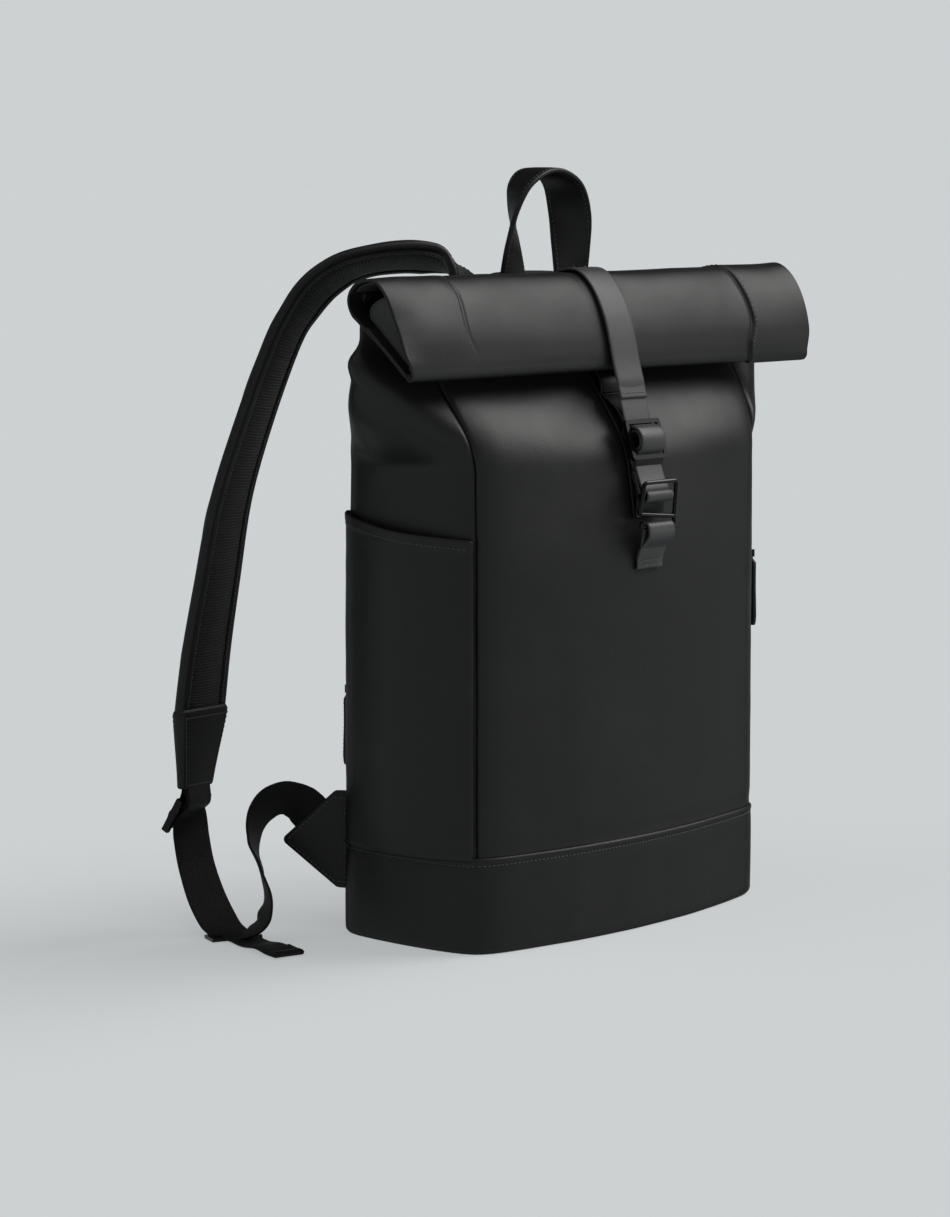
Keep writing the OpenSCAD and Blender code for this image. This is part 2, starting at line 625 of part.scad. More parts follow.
// Three-bar slide that joins the two stretches of webbing on the floor
module triglide(pos, turn) {
    color(metal) translate(pos) rotate([0, 0, turn]) difference() {
        translate([-web_w / 2 - 3, -glide_l / 2, 0]) cube([web_w + 6, glide_l, 2.4]);
        for (s = [-1, 1]) translate([-web_w / 2 - 0.5, s * 4 - 2, -1]) cube([web_w + 1, 4, 5]);
    }
}
left_glide = [-219, 100.5, 0.8];
right_glide = [162, 137, 8.4];
module triglide_left() { triglide(left_glide, -24); }
module triglide_right() { triglide(right_glide, 20); }

// The folded and sewn free end of each webbing, lying on the floor
module web_end(pos, turn) {
    color(cloth) translate(pos) rotate([0, 0, turn]) union() {
        translate([-web_w / 2 + 4, -72, 0]) cube([web_w - 8, 61, web_t]);
        translate([-web_w / 2 + 4, -72, web_t]) cube([web_w - 8, 18, web_t]);
    }
}
module web_end_left() { web_end(left_glide, -14); }
module web_end_right() { web_end(right_glide, 20); }

// Triangular leather tab at each lower back corner, which holds the end of the webbing
tab_tip = [-167, 106, 62];
module lower_tab(s) {
    root = [s * 143.5, 64.4];
    out = unit([s * 21, 38]);
    angle = atan2(out[1], out[0]);
    color(leather) translate([root[0], root[1], 0]) rotate([0, 0, angle]) rotate([90, 0, 0])
        translate([0, 0, -1.8]) linear_extrude(3.6) polygon([[0, 30], [0, 96], [8, 96], [44, 64], [44, 58], [8, 30]]);
}
module lower_tab_left() { lower_tab(-1); }
module lower_tab_right() { lower_tab(1); }

base_floor();
base_wrap();
base_board();
front_panel();
side_panel_left();
side_panel_right();
back_panel();
back_foam();
lining();
laptop_sleeve();
bottle_pocket();
side_zip_tape();
side_zip_slider();
side_zip_puller();
back_zip_tape();
back_zip_slider();
back_zip_puller();
strap_yoke();
ladder_strip();
hook_loop();
closure_anchor();
roll_back();
roll_outer();
roll_patch_left();
roll_patch_right();
roll_inner();
mouth_stiffener();
closure_strap();
closure_stud();
tail_web();
strap_slider();
slider_fold();
hook();
handle();
lower_tab_left();
lower_tab_right();
pad_left();
pad_right();
mesh_left();
mesh_right();
patch_left();
patch_right();
short_web_left();
short_web_right();
ladder_lock_left();
ladder_lock_right();
adjuster_left();
adjuster_right();
return_web_left();
return_web_right();
triglide_left();
triglide_right();
web_end_left();
web_end_right();
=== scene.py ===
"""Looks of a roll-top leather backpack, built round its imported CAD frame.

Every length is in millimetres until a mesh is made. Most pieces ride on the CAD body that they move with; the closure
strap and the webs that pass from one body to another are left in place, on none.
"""
import math

import bpy
import numpy as np
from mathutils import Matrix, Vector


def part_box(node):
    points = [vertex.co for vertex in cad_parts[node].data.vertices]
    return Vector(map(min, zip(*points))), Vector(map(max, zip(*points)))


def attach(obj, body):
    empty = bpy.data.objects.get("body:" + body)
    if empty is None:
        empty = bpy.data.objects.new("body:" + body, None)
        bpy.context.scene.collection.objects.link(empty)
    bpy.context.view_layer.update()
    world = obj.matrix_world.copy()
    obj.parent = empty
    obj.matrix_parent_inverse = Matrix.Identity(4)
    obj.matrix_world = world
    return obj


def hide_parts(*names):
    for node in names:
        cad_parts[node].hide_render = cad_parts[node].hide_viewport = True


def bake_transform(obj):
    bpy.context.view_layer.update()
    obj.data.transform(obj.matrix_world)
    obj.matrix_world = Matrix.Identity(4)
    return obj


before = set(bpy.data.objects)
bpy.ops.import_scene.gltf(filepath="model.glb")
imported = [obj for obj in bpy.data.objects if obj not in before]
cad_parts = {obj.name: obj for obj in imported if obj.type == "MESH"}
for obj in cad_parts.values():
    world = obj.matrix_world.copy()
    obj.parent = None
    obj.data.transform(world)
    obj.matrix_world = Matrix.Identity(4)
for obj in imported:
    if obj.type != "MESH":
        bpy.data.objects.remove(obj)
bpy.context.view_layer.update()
MM = 0.001

# ---------------------------------------------------------------- sizes shared with the CAD source
HALF_W, HALF_D, SHOULDER, MOUTH, BASE_H = 153.0, 62.0, 322.0, 425.0, 64.0
ROLL_HALF = 215.0
PANEL_Y = -83.6
FL, FR, BR, BL, RING = 0, 12, 20, 28, 36
FRONT_K = np.array([-1, -0.93, -0.8, -0.6, -0.4, -0.2, 0, 0.2, 0.4, 0.6, 0.8, 0.93])
SIDE_K = np.array([-1, -0.8, -0.5, -0.25, 0, 0.25, 0.5, 0.8])
BACK_K = np.array([1, 0.91, 0.72, 0.4, 0, -0.4, -0.72, -0.91])


def ease(s):
    s = np.clip(s, 0.0, 1.0)
    return s * s * (3 - 2 * s)


def section(z, t, tb=None, puff=0.0):
    """Rings of the body's section at heights z, set in by t: an array (heights, 36, 2)."""
    z = np.atleast_1d(np.asarray(z, float))[:, None]
    tb = t if tb is None else tb
    c = ease((z - SHOULDER) / (MOUTH - SHOULDER))
    b = HALF_D + (9 - HALF_D) * c
    bulge = 22 * (1 - ease((z - 240) / (MOUTH - 240)))
    bf, w = b - t, HALF_W - t
    bb = b - (t + (tb - t) * (1 - ease((z - 318) / 20))) + 5 * (1 - ease((z - 40) / 60))
    a0 = HALF_W + np.sqrt(36 + HALF_D**2 - b * b)
    a = a0 + puff - t * (1 + 0.9 * (a0 - HALF_W) / b)
    p = 2 - 0.9 * c + 4.4 * c * (1 - c)
    xs = [w * FRONT_K, w + (a - w) * (1 - np.abs(SIDE_K) ** p), w * BACK_K,
          -w - (a - w) * (1 - np.abs(SIDE_K) ** p)]
    ys = [-bf - bulge * (1 - FRONT_K**2), np.where(SIDE_K < 0, bf * SIDE_K, bb * SIDE_K),
          bb + 4 * (1 - c) * (1 - BACK_K**2), np.where(-SIDE_K < 0, bf * -SIDE_K, bb * -SIDE_K)]
    x_all = np.concatenate([x + 0 * z for x in xs], 1)
    y_all = np.concatenate([y - 9 * c + 0 * z for y in ys], 1)
    r = np.stack([x_all, y_all], 2)
    for _ in range(2):
        r = (np.roll(r, 1, 1) + 2 * r + np.roll(r, -1, 1)) / 4
    return r


def catmull(a, b, c, d, f):
    """The smooth curve between b and c at the part f."""
    return (2 * b + (c - a) * f + (2 * a - 5 * b + 4 * c - d) * f**2 + (3 * b - 3 * c + d - a) * f**3) / 2


def along_ring(r, u):
    """Smooth places at fractional ring positions u: one list for all the heights, or one per height."""
    u = np.asarray(u, float)
    if u.ndim == 1:
        u = np.broadcast_to(u, (r.shape[0], len(u)))
    i = np.floor(u).astype(int)
    f = (u - i)[..., None]
    rows = np.arange(r.shape[0])[:, None]
    return catmull(*(r[rows, (i + k) % RING] for k in (-1, 0, 1, 2)), f)


def body_grid(u, z, t, puff=0.0, tb=None):
    z = np.asarray(z, float)
    xy = along_ring(section(z, t, tb, puff), u)
    return np.concatenate([xy, np.broadcast_to(z[:, None, None], xy.shape[:2] + (1,))], 2)


def unit(v):
    return v / np.maximum(np.linalg.norm(v, axis=-1, keepdims=True), 1e-12)


def grid_normals(p):
    return unit(np.cross(np.gradient(p, axis=1), np.gradient(p, axis=0)))


def ripple(p, size, seed, n=8):
    """A soft random field over points p, from about -1 to 1, with features of about that size in mm."""
    r = np.random.default_rng(seed)
    d = unit(r.normal(size=(n, 3))) * (2 * math.pi / size * r.uniform(0.6, 1.5, (n, 1)))
    return np.sin(p @ d.T + r.uniform(0, 2 * math.pi, n)).sum(-1) / n * 1.8


def spread(a, b, step, ends=(0.5, 1.4, 3.0)):
    """Numbers from a to b about a step apart, with extra ones close to both ends."""
    n = max(2, int(round(abs(b - a) / step)))
    s = np.sign(b - a)
    mid = np.linspace(a, b, n + 1)
    extra = [a + s * e for e in ends] + [b - s * e for e in ends]
    out = np.array(sorted(set(np.round(np.concatenate([mid, extra]), 5)), reverse=s < 0))
    keep = [0]
    for k in range(1, len(out) - 1):
        near_end = min(abs(out[k] - a), abs(out[k] - b)) <= max(ends) + 1e-6
        if near_end or abs(out[k] - out[keep[-1]]) > step * 0.45:
            keep.append(k)
    keep.append(len(out) - 1)
    return out[keep]


def spline(p, n):
    """Catmull-Rom curve through the points, n steps between neighbours."""
    p = np.asarray(p, float)
    q = np.concatenate([p[:1], p, p[-1:]])
    t = np.arange(n)[:, None] / n
    out = [catmull(*q[i - 1:i + 3], t) for i in range(1, len(p))]
    return np.concatenate(out + [p[-1:]])


def arc_len(p):
    return np.concatenate([[0], np.cumsum(np.linalg.norm(np.diff(p, axis=0), axis=1))])


def even(p, step, *others):
    """The same line with points a step apart, and other per-point arrays taken at the same places."""
    s = arc_len(p)
    n = max(2, int(round(s[-1] / step)))
    q = np.linspace(0, s[-1], n + 1)
    out = [np.stack([np.interp(q, s, a[:, k]) for k in range(a.shape[1])], 1) for a in (p, *others)]
    return out[0] if not others else out


def rounded(points, r, seg=5, closed=False):
    """A polyline with its corners rounded to radius about r."""
    p = np.asarray(points, float)
    n = len(p)
    out = []
    for i in range(n):
        if not closed and i in (0, n - 1):
            out.append(p[i])
            continue
        a, b, c = p[i - 1], p[i], p[(i + 1) % n]
        da, dc = np.linalg.norm(a - b), np.linalg.norm(c - b)
        k = min(r, da * 0.48, dc * 0.48)
        s, e = b + (a - b) / da * k, b + (c - b) / dc * k
        for t in np.linspace(0, 1, seg + 1):
            out.append((1 - t) ** 2 * s + 2 * t * (1 - t) * b + t * t * e)
    return np.array(out)


# ---------------------------------------------------------------- meshes
def make(name, verts, faces, mat, uv=None, flat=None):
    me = bpy.data.meshes.new(name)
    me.from_pydata((np.asarray(verts, float) * MM).tolist(), [], [list(map(int, f)) for f in faces])
    me.update()
    smooth = np.ones(len(me.polygons), bool)
    if flat is not None:
        smooth[flat] = False
    me.polygons.foreach_set("use_smooth", smooth)
    if uv is not None:
        layer = me.uv_layers.new(name="UVMap")
        idx = np.empty(len(me.loops), int)
        me.loops.foreach_get("vertex_index", idx)
        layer.data.foreach_set("uv", np.asarray(uv, float)[idx].ravel())
    me.materials.append(mat)
    ob = bpy.data.objects.new(name, me)
    bpy.context.scene.collection.objects.link(ob)
    return ob


def place(ob, body, slot, *nodes):
    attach(ob, body)
    if nodes:
        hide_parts(*nodes)
    return ob


def quads(rows, cols, base=0, wrap=False, flip=False):
    r, c = np.meshgrid(np.arange(rows - 1), np.arange(cols if wrap else cols - 1), indexing="ij")
    r, c = r.ravel(), c.ravel()
    d = (c + 1) % cols
    q = np.stack([r * cols + c, r * cols + d, (r + 1) * cols + d, (r + 1) * cols + c], 1) + base
    return q[:, ::-1] if flip else q


def slab(name, outer, inner, mat, wrap=False, bulge=0.45, uv=None):
    """A closed sheet between two grids of points, with its free edges rounded over."""
    rows, cols = outer.shape[:2]
    n = rows * cols
    if wrap:
        loops = [[(0, c) for c in range(cols)], [(rows - 1, c) for c in range(cols - 1, -1, -1)]]
    else:
        loops = [[(0, c) for c in range(cols - 1)] + [(r, cols - 1) for r in range(rows - 1)]
                 + [(rows - 1, c) for c in range(cols - 1, 0, -1)] + [(r, 0) for r in range(rows - 1, 0, -1)]]
    verts = [outer.reshape(-1, 3), inner.reshape(-1, 3)]
    faces = [quads(rows, cols, 0, wrap), quads(rows, cols, n, wrap, flip=True)]
    base = 2 * n
    uvs = None if uv is None else [uv.reshape(-1, 2), uv.reshape(-1, 2)]
    for loop in loops:
        rc = np.array(loop)
        r, c = rc[:, 0], rc[:, 1]
        r2 = np.clip(r, 1, rows - 2) if rows > 2 else r
        c2 = c if wrap else (np.clip(c, 1, cols - 2) if cols > 2 else c)
        o, i = outer[r, c], inner[r, c]
        away = unit(o - outer[r2, c2])
        th = np.linalg.norm(o - i, axis=1, keepdims=True)
        verts.append((o + i) / 2 + away * th * bulge)
        if uvs is not None:
            uvs.append(uv[r, c])
        k = len(loop)
        a = r * cols + c
        b = np.roll(a, -1)
        m = base + np.arange(k)
        m2 = np.roll(m, -1)
        faces.append(np.stack([b, a, m, m2], 1))
        faces.append(np.stack([m2, m, a + n, b + n], 1))
        base += k
    return make(name, np.concatenate(verts), np.concatenate(faces), mat,
                None if uvs is None else np.concatenate(uvs))


def sweep_frames(path, across, closed=False):
    if closed:
        t = unit(np.roll(path, -1, 0) - np.roll(path, 1, 0))
    else:
        t = unit(np.gradient(path, axis=0))
    a = unit(across - t * (across * t).sum(1, keepdims=True))
    return t, a, np.cross(t, a)


def sweep(name, path, across, prof, mat, closed=False):
    """A solid along a path. prof is a counter-clockwise (across, normal) loop, or one per point."""
    path = np.asarray(path, float)
    across = np.broadcast_to(np.asarray(across, float), path.shape)
    n = len(path)
    prof = np.asarray(prof, float)
    if prof.ndim == 2:
        prof = np.broadcast_to(prof, (n,) + prof.shape)
    m = prof.shape[1]
    _, a, b = sweep_frames(path, across, closed)
    v = path[:, None] + a[:, None] * prof[..., :1] + b[:, None] * prof[..., 1:]
    s = arc_len(path)
    uv = np.stack([prof[..., 0], np.broadcast_to(s[:, None], (n, m))], 2).reshape(-1, 2)
    idx = np.arange(n * m).reshape(n, m)
    lo, hi = (idx, np.roll(idx, -1, 0)) if closed else (idx[:-1], idx[1:])
    faces = np.stack([lo, np.roll(lo, -1, 1), np.roll(hi, -1, 1), hi], 2).reshape(-1, 4).tolist()
    flat = None
    if not closed:
        flat = [len(faces), len(faces) + 1]
        faces += [idx[0][::-1].tolist(), idx[-1].tolist()]
    return make(name, v.reshape(-1, 3), faces, mat, uv, flat)


def flat_prof(w, lo, hi, n=13, seg=4, crown=0.0, crown_lo=0.0):
    """Rounded strap section from normal lo to hi, w wide, with its faces raised by a crown at the middle."""
    r = (hi - lo) / 2
    x = np.linspace(-w / 2 + r, w / 2 - r, n)
    k = 1 - (2 * x / w) ** 2
    ang = np.linspace(-math.pi / 2, math.pi / 2, seg + 2)[1:-1]
    right = np.stack([w / 2 - r + r * np.cos(ang), (lo + hi) / 2 + r * np.sin(ang)], 1)
    left = np.stack([-w / 2 + r - r * np.cos(ang), (lo + hi) / 2 - r * np.sin(ang)], 1)
    low, high = np.stack([x, lo - crown_lo * k], 1), np.stack([x[::-1], hi + crown * k], 1)
    return np.concatenate([low, right, high, left])


def tube_prof(r, n=16):
    a = np.linspace(0, 2 * math.pi, n, endpoint=False)
    return np.stack([r * np.cos(a), r * np.sin(a)], 1)


def beads(name, verts, mat):
    """One mesh of closed beads, each made of four rings of six points: verts is (beads, 24, 3)."""
    first = np.arange(len(verts))[:, None, None] * 24
    sides = (quads(4, 6, 0, True, flip=True)[None] + first).reshape(-1, 4)
    caps = (np.array([range(6), range(23, 17, -1)])[None] + first).reshape(-1, 6)
    return make(name, verts.reshape(-1, 3), sides.tolist() + caps.tolist(), mat)


# ---------------------------------------------------------------- stitches, gathered by body
_stitches = {}


def stitch(body, points, normals, pitch=3.4, length=2.5, r=0.34, lift=0.12):
    """A row of thread stitches along a line that lies on a surface."""
    p = np.asarray(points, float)
    nrm = np.broadcast_to(np.asarray(normals, float), p.shape)
    s = arc_len(p)
    count = int((s[-1] - length) / pitch)
    if count < 1:
        return
    at = (s[-1] - count * pitch) / 2 + pitch * np.arange(count + 1)
    at = at[(at > length * 0.5) & (at < s[-1] - length * 0.5)]

    def on(q, arr):
        return np.stack([np.interp(q, s, arr[:, k]) for k in range(3)], 1)
    c, n = on(at, p), unit(on(at, nrm))
    t = unit(on(at + 0.4, p) - on(at - 0.4, p))
    b = unit(np.cross(t, n))
    t = unit(t + b * 0.10)
    rings = []
    for d, rad, dip in ((-0.5, 0.5, -0.55), (-0.2, 1, 0), (0.2, 1, 0), (0.5, 0.5, -0.55)):
        centre = c + t * length * d + n * (lift + dip * r)
        for k in range(6):
            ang = math.pi / 3 * k
            rings.append(centre + (b * math.cos(ang) + n * math.sin(ang) * 0.8) * r * rad)
    _stitches.setdefault(body, []).append(np.stack(rings, 1))


def flush_stitches(mat, slot):
    for body, sets in _stitches.items():
        place(beads("stitches_" + body, np.concatenate(sets), mat), body, slot)


# ---------------------------------------------------------------- materials
class Tree:
    """A short way to write a node tree."""

    def __init__(self, tree):
        self.tree = tree
        self.coord = self.new("TexCoord")

    def new(self, kind, **values):
        n = self.tree.nodes.new("ShaderNode" + kind)
        for key, v in values.items():
            n.inputs[key.replace("_", " ")].default_value = v
        return n

    def link(self, a, b):
        self.tree.links.new(a, b)

    def range(self, fac, lo, hi, a=0.0, b=1.0, kind="LINEAR"):
        n = self.new("MapRange", From_Min=a, From_Max=b, To_Min=lo, To_Max=hi)
        n.interpolation_type = kind
        self.link(fac, n.inputs["Value"])
        return n.outputs["Result"]


class Nodes(Tree):
    """A short way to write a material's nodes."""

    def __init__(self, name):
        self.mat = bpy.data.materials.new(name)
        self.mat.use_nodes = True
        super().__init__(self.mat.node_tree)
        self.bsdf = self.tree.nodes["Principled BSDF"]

    def value(self, name, v):
        self.bsdf.inputs[name].default_value = v

    def noise(self, scale, detail=3.0, rough=0.5, distort=0.0):
        n = self.new("TexNoise", Scale=scale, Detail=detail, Roughness=rough, Distortion=distort)
        self.link(self.coord.outputs["Object"], n.inputs["Vector"])
        return n.outputs["Fac"]

    def cells(self, scale):
        n = self.new("TexVoronoi", Scale=scale, Randomness=1.0)
        n.feature = "SMOOTH_F1"
        self.link(self.coord.outputs["Object"], n.inputs["Vector"])
        return n.outputs["Distance"]

    def math(self, op, a, b=None, c=None):
        n = self.new("Math")
        n.operation = op
        for k, v in enumerate((a, b, c)):
            if v is None:
                continue
            if isinstance(v, (int, float)):
                n.inputs[k].default_value = v
            else:
                self.link(v, n.inputs[k])
        return n.outputs[0]

    def ramp(self, fac, stops):
        n = self.new("ValToRGB")
        e = n.color_ramp.elements
        while len(e) < len(stops):
            e.new(0.5)
        for k, (pos, col) in enumerate(stops):
            e[k].position = pos
            e[k].color = (*col, 1)
        self.link(fac, n.inputs["Fac"])
        return n.outputs["Color"]

    def bump(self, height, strength, distance, normal=None):
        n = self.new("Bump", Strength=strength, Distance=distance)
        self.link(height, n.inputs["Height"])
        if normal is not None:
            self.link(normal, n.inputs["Normal"])
        return n.outputs["Normal"]

    def uv(self):
        n = self.new("SeparateXYZ")
        self.link(self.coord.outputs["UV"], n.inputs[0])
        return n.outputs["X"], n.outputs["Y"]

    def finish(self, color, rough, normal):
        self.link(color, self.bsdf.inputs["Base Color"])
        self.link(rough, self.bsdf.inputs["Roughness"])
        self.link(normal, self.bsdf.inputs["Normal"])
        return self.mat


def shade(tone, k):
    return tuple(x * k for x in tone)


def leather(name, tone, rough, grain=0.16, crease=0.25, gloss=0.2):
    n = Nodes(name)
    blotch = n.noise(14, 4, 0.6, distort=0.4)
    fine = n.noise(900, 2)
    color = n.ramp(n.math("ADD", n.math("MULTIPLY", blotch, 0.8), n.math("MULTIPLY", fine, 0.2)),
                   [(0.3, shade(tone, 0.82)), (0.55, tone), (0.75, shade(tone, 1.25))])
    rr = n.math("ADD", n.range(blotch, rough - 0.05, rough + 0.05, 0.3, 0.7), n.range(fine, -0.03, 0.03))
    normal = n.bump(n.noise(38, 4, 0.55, distort=0.6), crease, 0.0006)
    pebble = n.math("ADD", n.cells(1150), n.math("MULTIPLY", n.noise(2600, 2), 0.5))
    normal = n.bump(pebble, grain, 0.00035, normal)
    # a rough pebbled coating shines less where it is seen edge-on
    facing = n.new("LayerWeight", Blend=0.5)
    n.value("Specular IOR Level", gloss)
    n.link(n.range(facing.outputs["Facing"], gloss, 0.02, 0.3, 0.66), n.bsdf.inputs["Specular IOR Level"])
    return n.finish(color, rr, normal)


def webbing(name):
    """Woven nylon: rows across the strap, each other column set off by half a row."""
    n = Nodes(name)
    u, v = n.uv()
    col = n.math("MULTIPLY", u, 1 / 1.5)
    half = n.math("MULTIPLY", n.math("MODULO", n.math("FLOOR", n.math("ADD", col, 400.0)), 2.0), 0.5)
    row = n.math("ADD", n.math("MULTIPLY", v, 1 / 1.25), half)
    hu = n.math("ABSOLUTE", n.math("SINE", n.math("MULTIPLY", col, math.pi)))
    hv = n.math("ABSOLUTE", n.math("SINE", n.math("MULTIPLY", row, math.pi)))
    h = n.math("POWER", n.math("MULTIPLY", hu, hv), 0.6)
    fibre = n.noise(2500, 3)
    color = n.ramp(n.math("ADD", n.math("MULTIPLY", h, 0.8), n.math("MULTIPLY", fibre, 0.25)),
                   [(0.1, (0.0015, 0.0015, 0.0016)), (0.9, (0.006, 0.006, 0.0062))])
    normal = n.bump(n.noise(45, 3), 0.25, 0.0005)
    normal = n.bump(n.math("ADD", h, n.math("MULTIPLY", fibre, 0.3)), 0.7, 0.0005, normal)
    n.value("Specular IOR Level", 0.13)
    return n.finish(color, n.range(fibre, 0.5, 0.7), normal)


def air_mesh(name, pitch=2.6):
    """Spacer mesh: rows of small open cells, each other row set off by half a cell."""
    n = Nodes(name)
    u, v = n.uv()
    row = n.math("ADD", n.math("MULTIPLY", v, 1 / (pitch * 0.8)), 400.0)
    half = n.math("MULTIPLY", n.math("MODULO", n.math("FLOOR", row), 2.0), 0.5)
    col = n.math("ADD", n.math("MULTIPLY", u, 1 / pitch), half)
    hu = n.math("ABSOLUTE", n.math("SINE", n.math("MULTIPLY", col, math.pi)))
    hv = n.math("ABSOLUTE", n.math("SINE", n.math("MULTIPLY", row, math.pi)))
    hole = n.math("SMOOTH_MIN", hu, hv, 0.2)
    fibre = n.noise(1800, 3)
    color = n.ramp(hole, [(0.25, (0.019, 0.019, 0.02)), (0.45, (0.004, 0.004, 0.004)),
                          (0.7, (0.0005, 0.0005, 0.0005))])
    h = n.math("ADD", n.math("SUBTRACT", 1.0, hole), n.math("MULTIPLY", fibre, 0.25))
    normal = n.bump(n.noise(40, 3), 0.3, 0.0008)
    normal = n.bump(h, 0.9, 0.0009, normal)
    n.value("Specular IOR Level", 0.14)
    return n.finish(color, n.range(fibre, 0.55, 0.8), normal)


def plain_weave(name, tone, scale=1400.0):
    n = Nodes(name)
    a = n.noise(scale, 2)
    w = n.new("TexWave", Scale=300, Distortion=1.5)
    n.link(n.coord.outputs["Object"], w.inputs["Vector"])
    h = n.math("ADD", n.math("MULTIPLY", w.outputs["Fac"], 0.6), n.math("MULTIPLY", a, 0.5))
    color = n.ramp(h, [(0.2, shade(tone, 0.6)), (0.8, shade(tone, 1.3))])
    normal = n.bump(h, 0.5, 0.0004, n.bump(n.noise(30, 4), 0.3, 0.0015))
    return n.finish(color, n.range(a, 0.6, 0.85), normal)


def metal(name):
    """Black lacquer over cast zinc, a little rubbed."""
    n = Nodes(name)
    cloud = n.noise(260, 4, 0.6)
    fine = n.noise(3200, 2)
    color = n.ramp(cloud, [(0.35, (0.002, 0.002, 0.0022)), (0.7, (0.0042, 0.0042, 0.0045))])
    normal = n.bump(fine, 0.08, 0.0001, n.bump(n.noise(700, 2), 0.06, 0.0002))
    n.value("Specular IOR Level", 0.15)
    return n.finish(color, n.range(cloud, 0.11, 0.18), normal)


def thread_mat(name):
    n = Nodes(name)
    f = n.noise(2200, 2)
    color = n.ramp(f, [(0.3, (0.022, 0.022, 0.023)), (0.7, (0.045, 0.045, 0.047))])
    n.value("Specular IOR Level", 0.5)
    return n.finish(color, n.range(f, 0.38, 0.55), n.bump(f, 0.4, 0.0002))


LEATHER = leather("coated_leather", (0.0098, 0.0098, 0.0100), 0.44)
BASE = leather("base_leather", (0.0085, 0.0085, 0.0087), 0.45, grain=0.22)
TRIM = leather("trim_leather", (0.0075, 0.0075, 0.0077), 0.44, grain=0.22, crease=0.15)
# the roll's leather is the body's leather made lighter: a painted highlight for the light that falls on the roll's top
# and front
ROLL_LIT_LEATHER = leather("roll_leather_painted_highlight", (0.0115, 0.0115, 0.0117), 0.45)
STRAP = leather("strap_leather", (0.042, 0.042, 0.0426), 0.46, grain=0.2, gloss=0.28)
WEB = webbing("nylon_webbing")
MESH = air_mesh("air_mesh")
LINING = plain_weave("lining_cloth", (0.02, 0.02, 0.021))
FOAM = plain_weave("foam", (0.04, 0.04, 0.04), 2000)
HEM = plain_weave("hem_cloth", (0.02, 0.02, 0.021), 900)
METAL = metal("black_metal")
THREAD = thread_mat("thread")


# ---------------------------------------------------------------- body panels
def edge_sink(d, depth, width):
    return depth * (1 - np.clip(d / width, 0, 1)) ** 2


def u_stations(u0, u1, step=0.2):
    """Ring positions from u0 to u1, closer together near both ends."""
    mid = np.arange(u0, u1, step)
    extra = np.array([0.04, 0.1, 0.18, 0.3])
    out = np.array(sorted(set(np.round(np.concatenate([mid, [u1], u0 + extra, u1 - extra]), 4))))
    return out[np.concatenate([[True], np.diff(out) > 0.02])]


def border_distance(p):
    """For each point of a grid, how far it is from the grid's two side edges, along its row."""
    s = np.concatenate([np.zeros((len(p), 1)), np.cumsum(np.linalg.norm(np.diff(p, axis=1), axis=2), 1)], 1)
    return s, s[:, -1:] - s


def panel(name, u0, u1, step, z, t, shape):
    """A 2 mm leather panel between two ring positions, sunk into its side seams."""
    p = body_grid(u_stations(u0 + 0.03, u1 - 0.03, step), z, t)
    n = grid_normals(p)
    a, b = border_distance(p)
    d = -edge_sink(a, 1.5, 3.2) - edge_sink(b, 1.5, 3.2)
    q = p + n * (d + shape(p))[..., None]
    return slab(name, q, q - n * 2.0, LEATHER)


def front_shape(p):
    x, z = p[..., 0], p[..., 2]
    d = 0.45 * ripple(p, 150, 3) + 0.12 * ripple(p, 34, 4)
    d += 1.6 * np.exp(-((z - 352) / 26) ** 2) * np.exp(-((np.abs(x) - 110) / 50) ** 2)
    d -= 0.7 * np.exp(-((z - 69) / 5) ** 2)
    return d


def side_shape(sign):
    def shape(p):
        y, z = p[..., 1], p[..., 2]
        d = 0.7 * ripple(p, 95, 11 + sign) + 0.2 * ripple(p, 30, 13)
        line = (z - 352) - (y + 40) * 1.15
        d += 4.6 * np.exp(-(line / 12) ** 2) * ease((z - 325) / 25) * (1 - ease((z - 392) / 25))
        d -= 2.6 * np.exp(-((line - 24) / 11) ** 2) * ease((z - 340) / 25) * (1 - ease((z - 400) / 20))
        d += 6.0 * ease((z - 394) / 30) * ease((y + 15) / 13)
        d += 3.5 * np.exp(-((z - 385) / 40) ** 2) * np.exp(-((y - 25) / 22) ** 2)
        return d
    return shape


Z_BODY = np.unique(np.concatenate([np.arange(64.3, 425, 3.0), [65, 66, 424, 425]]))
place(panel("front_cover", FL, FR, 0.12, Z_BODY, 0.2, front_shape), "bag", "leather", "front_panel")
for s, u0, u1, side in ((-1, BL, RING, "left"), (1, FR, BR, "right")):
    ob = panel("side_cover_" + side, u0, u1, 0.1, Z_BODY, 0.2, side_shape(s))
    place(ob, "bag", "leather", "side_panel_" + side)
# The back: a leather border with an air-mesh field of sewn pads inside it
back_z = np.unique(np.concatenate([np.arange(64.3, 425, 4.0), [65, 66, 424, 425]]))
ob = panel("back_cover", BR, BL, 0.12, back_z, 0.6, lambda p: 0.3 * ripple(p, 80, 21))
place(ob, "bag", "leather", "back_panel")


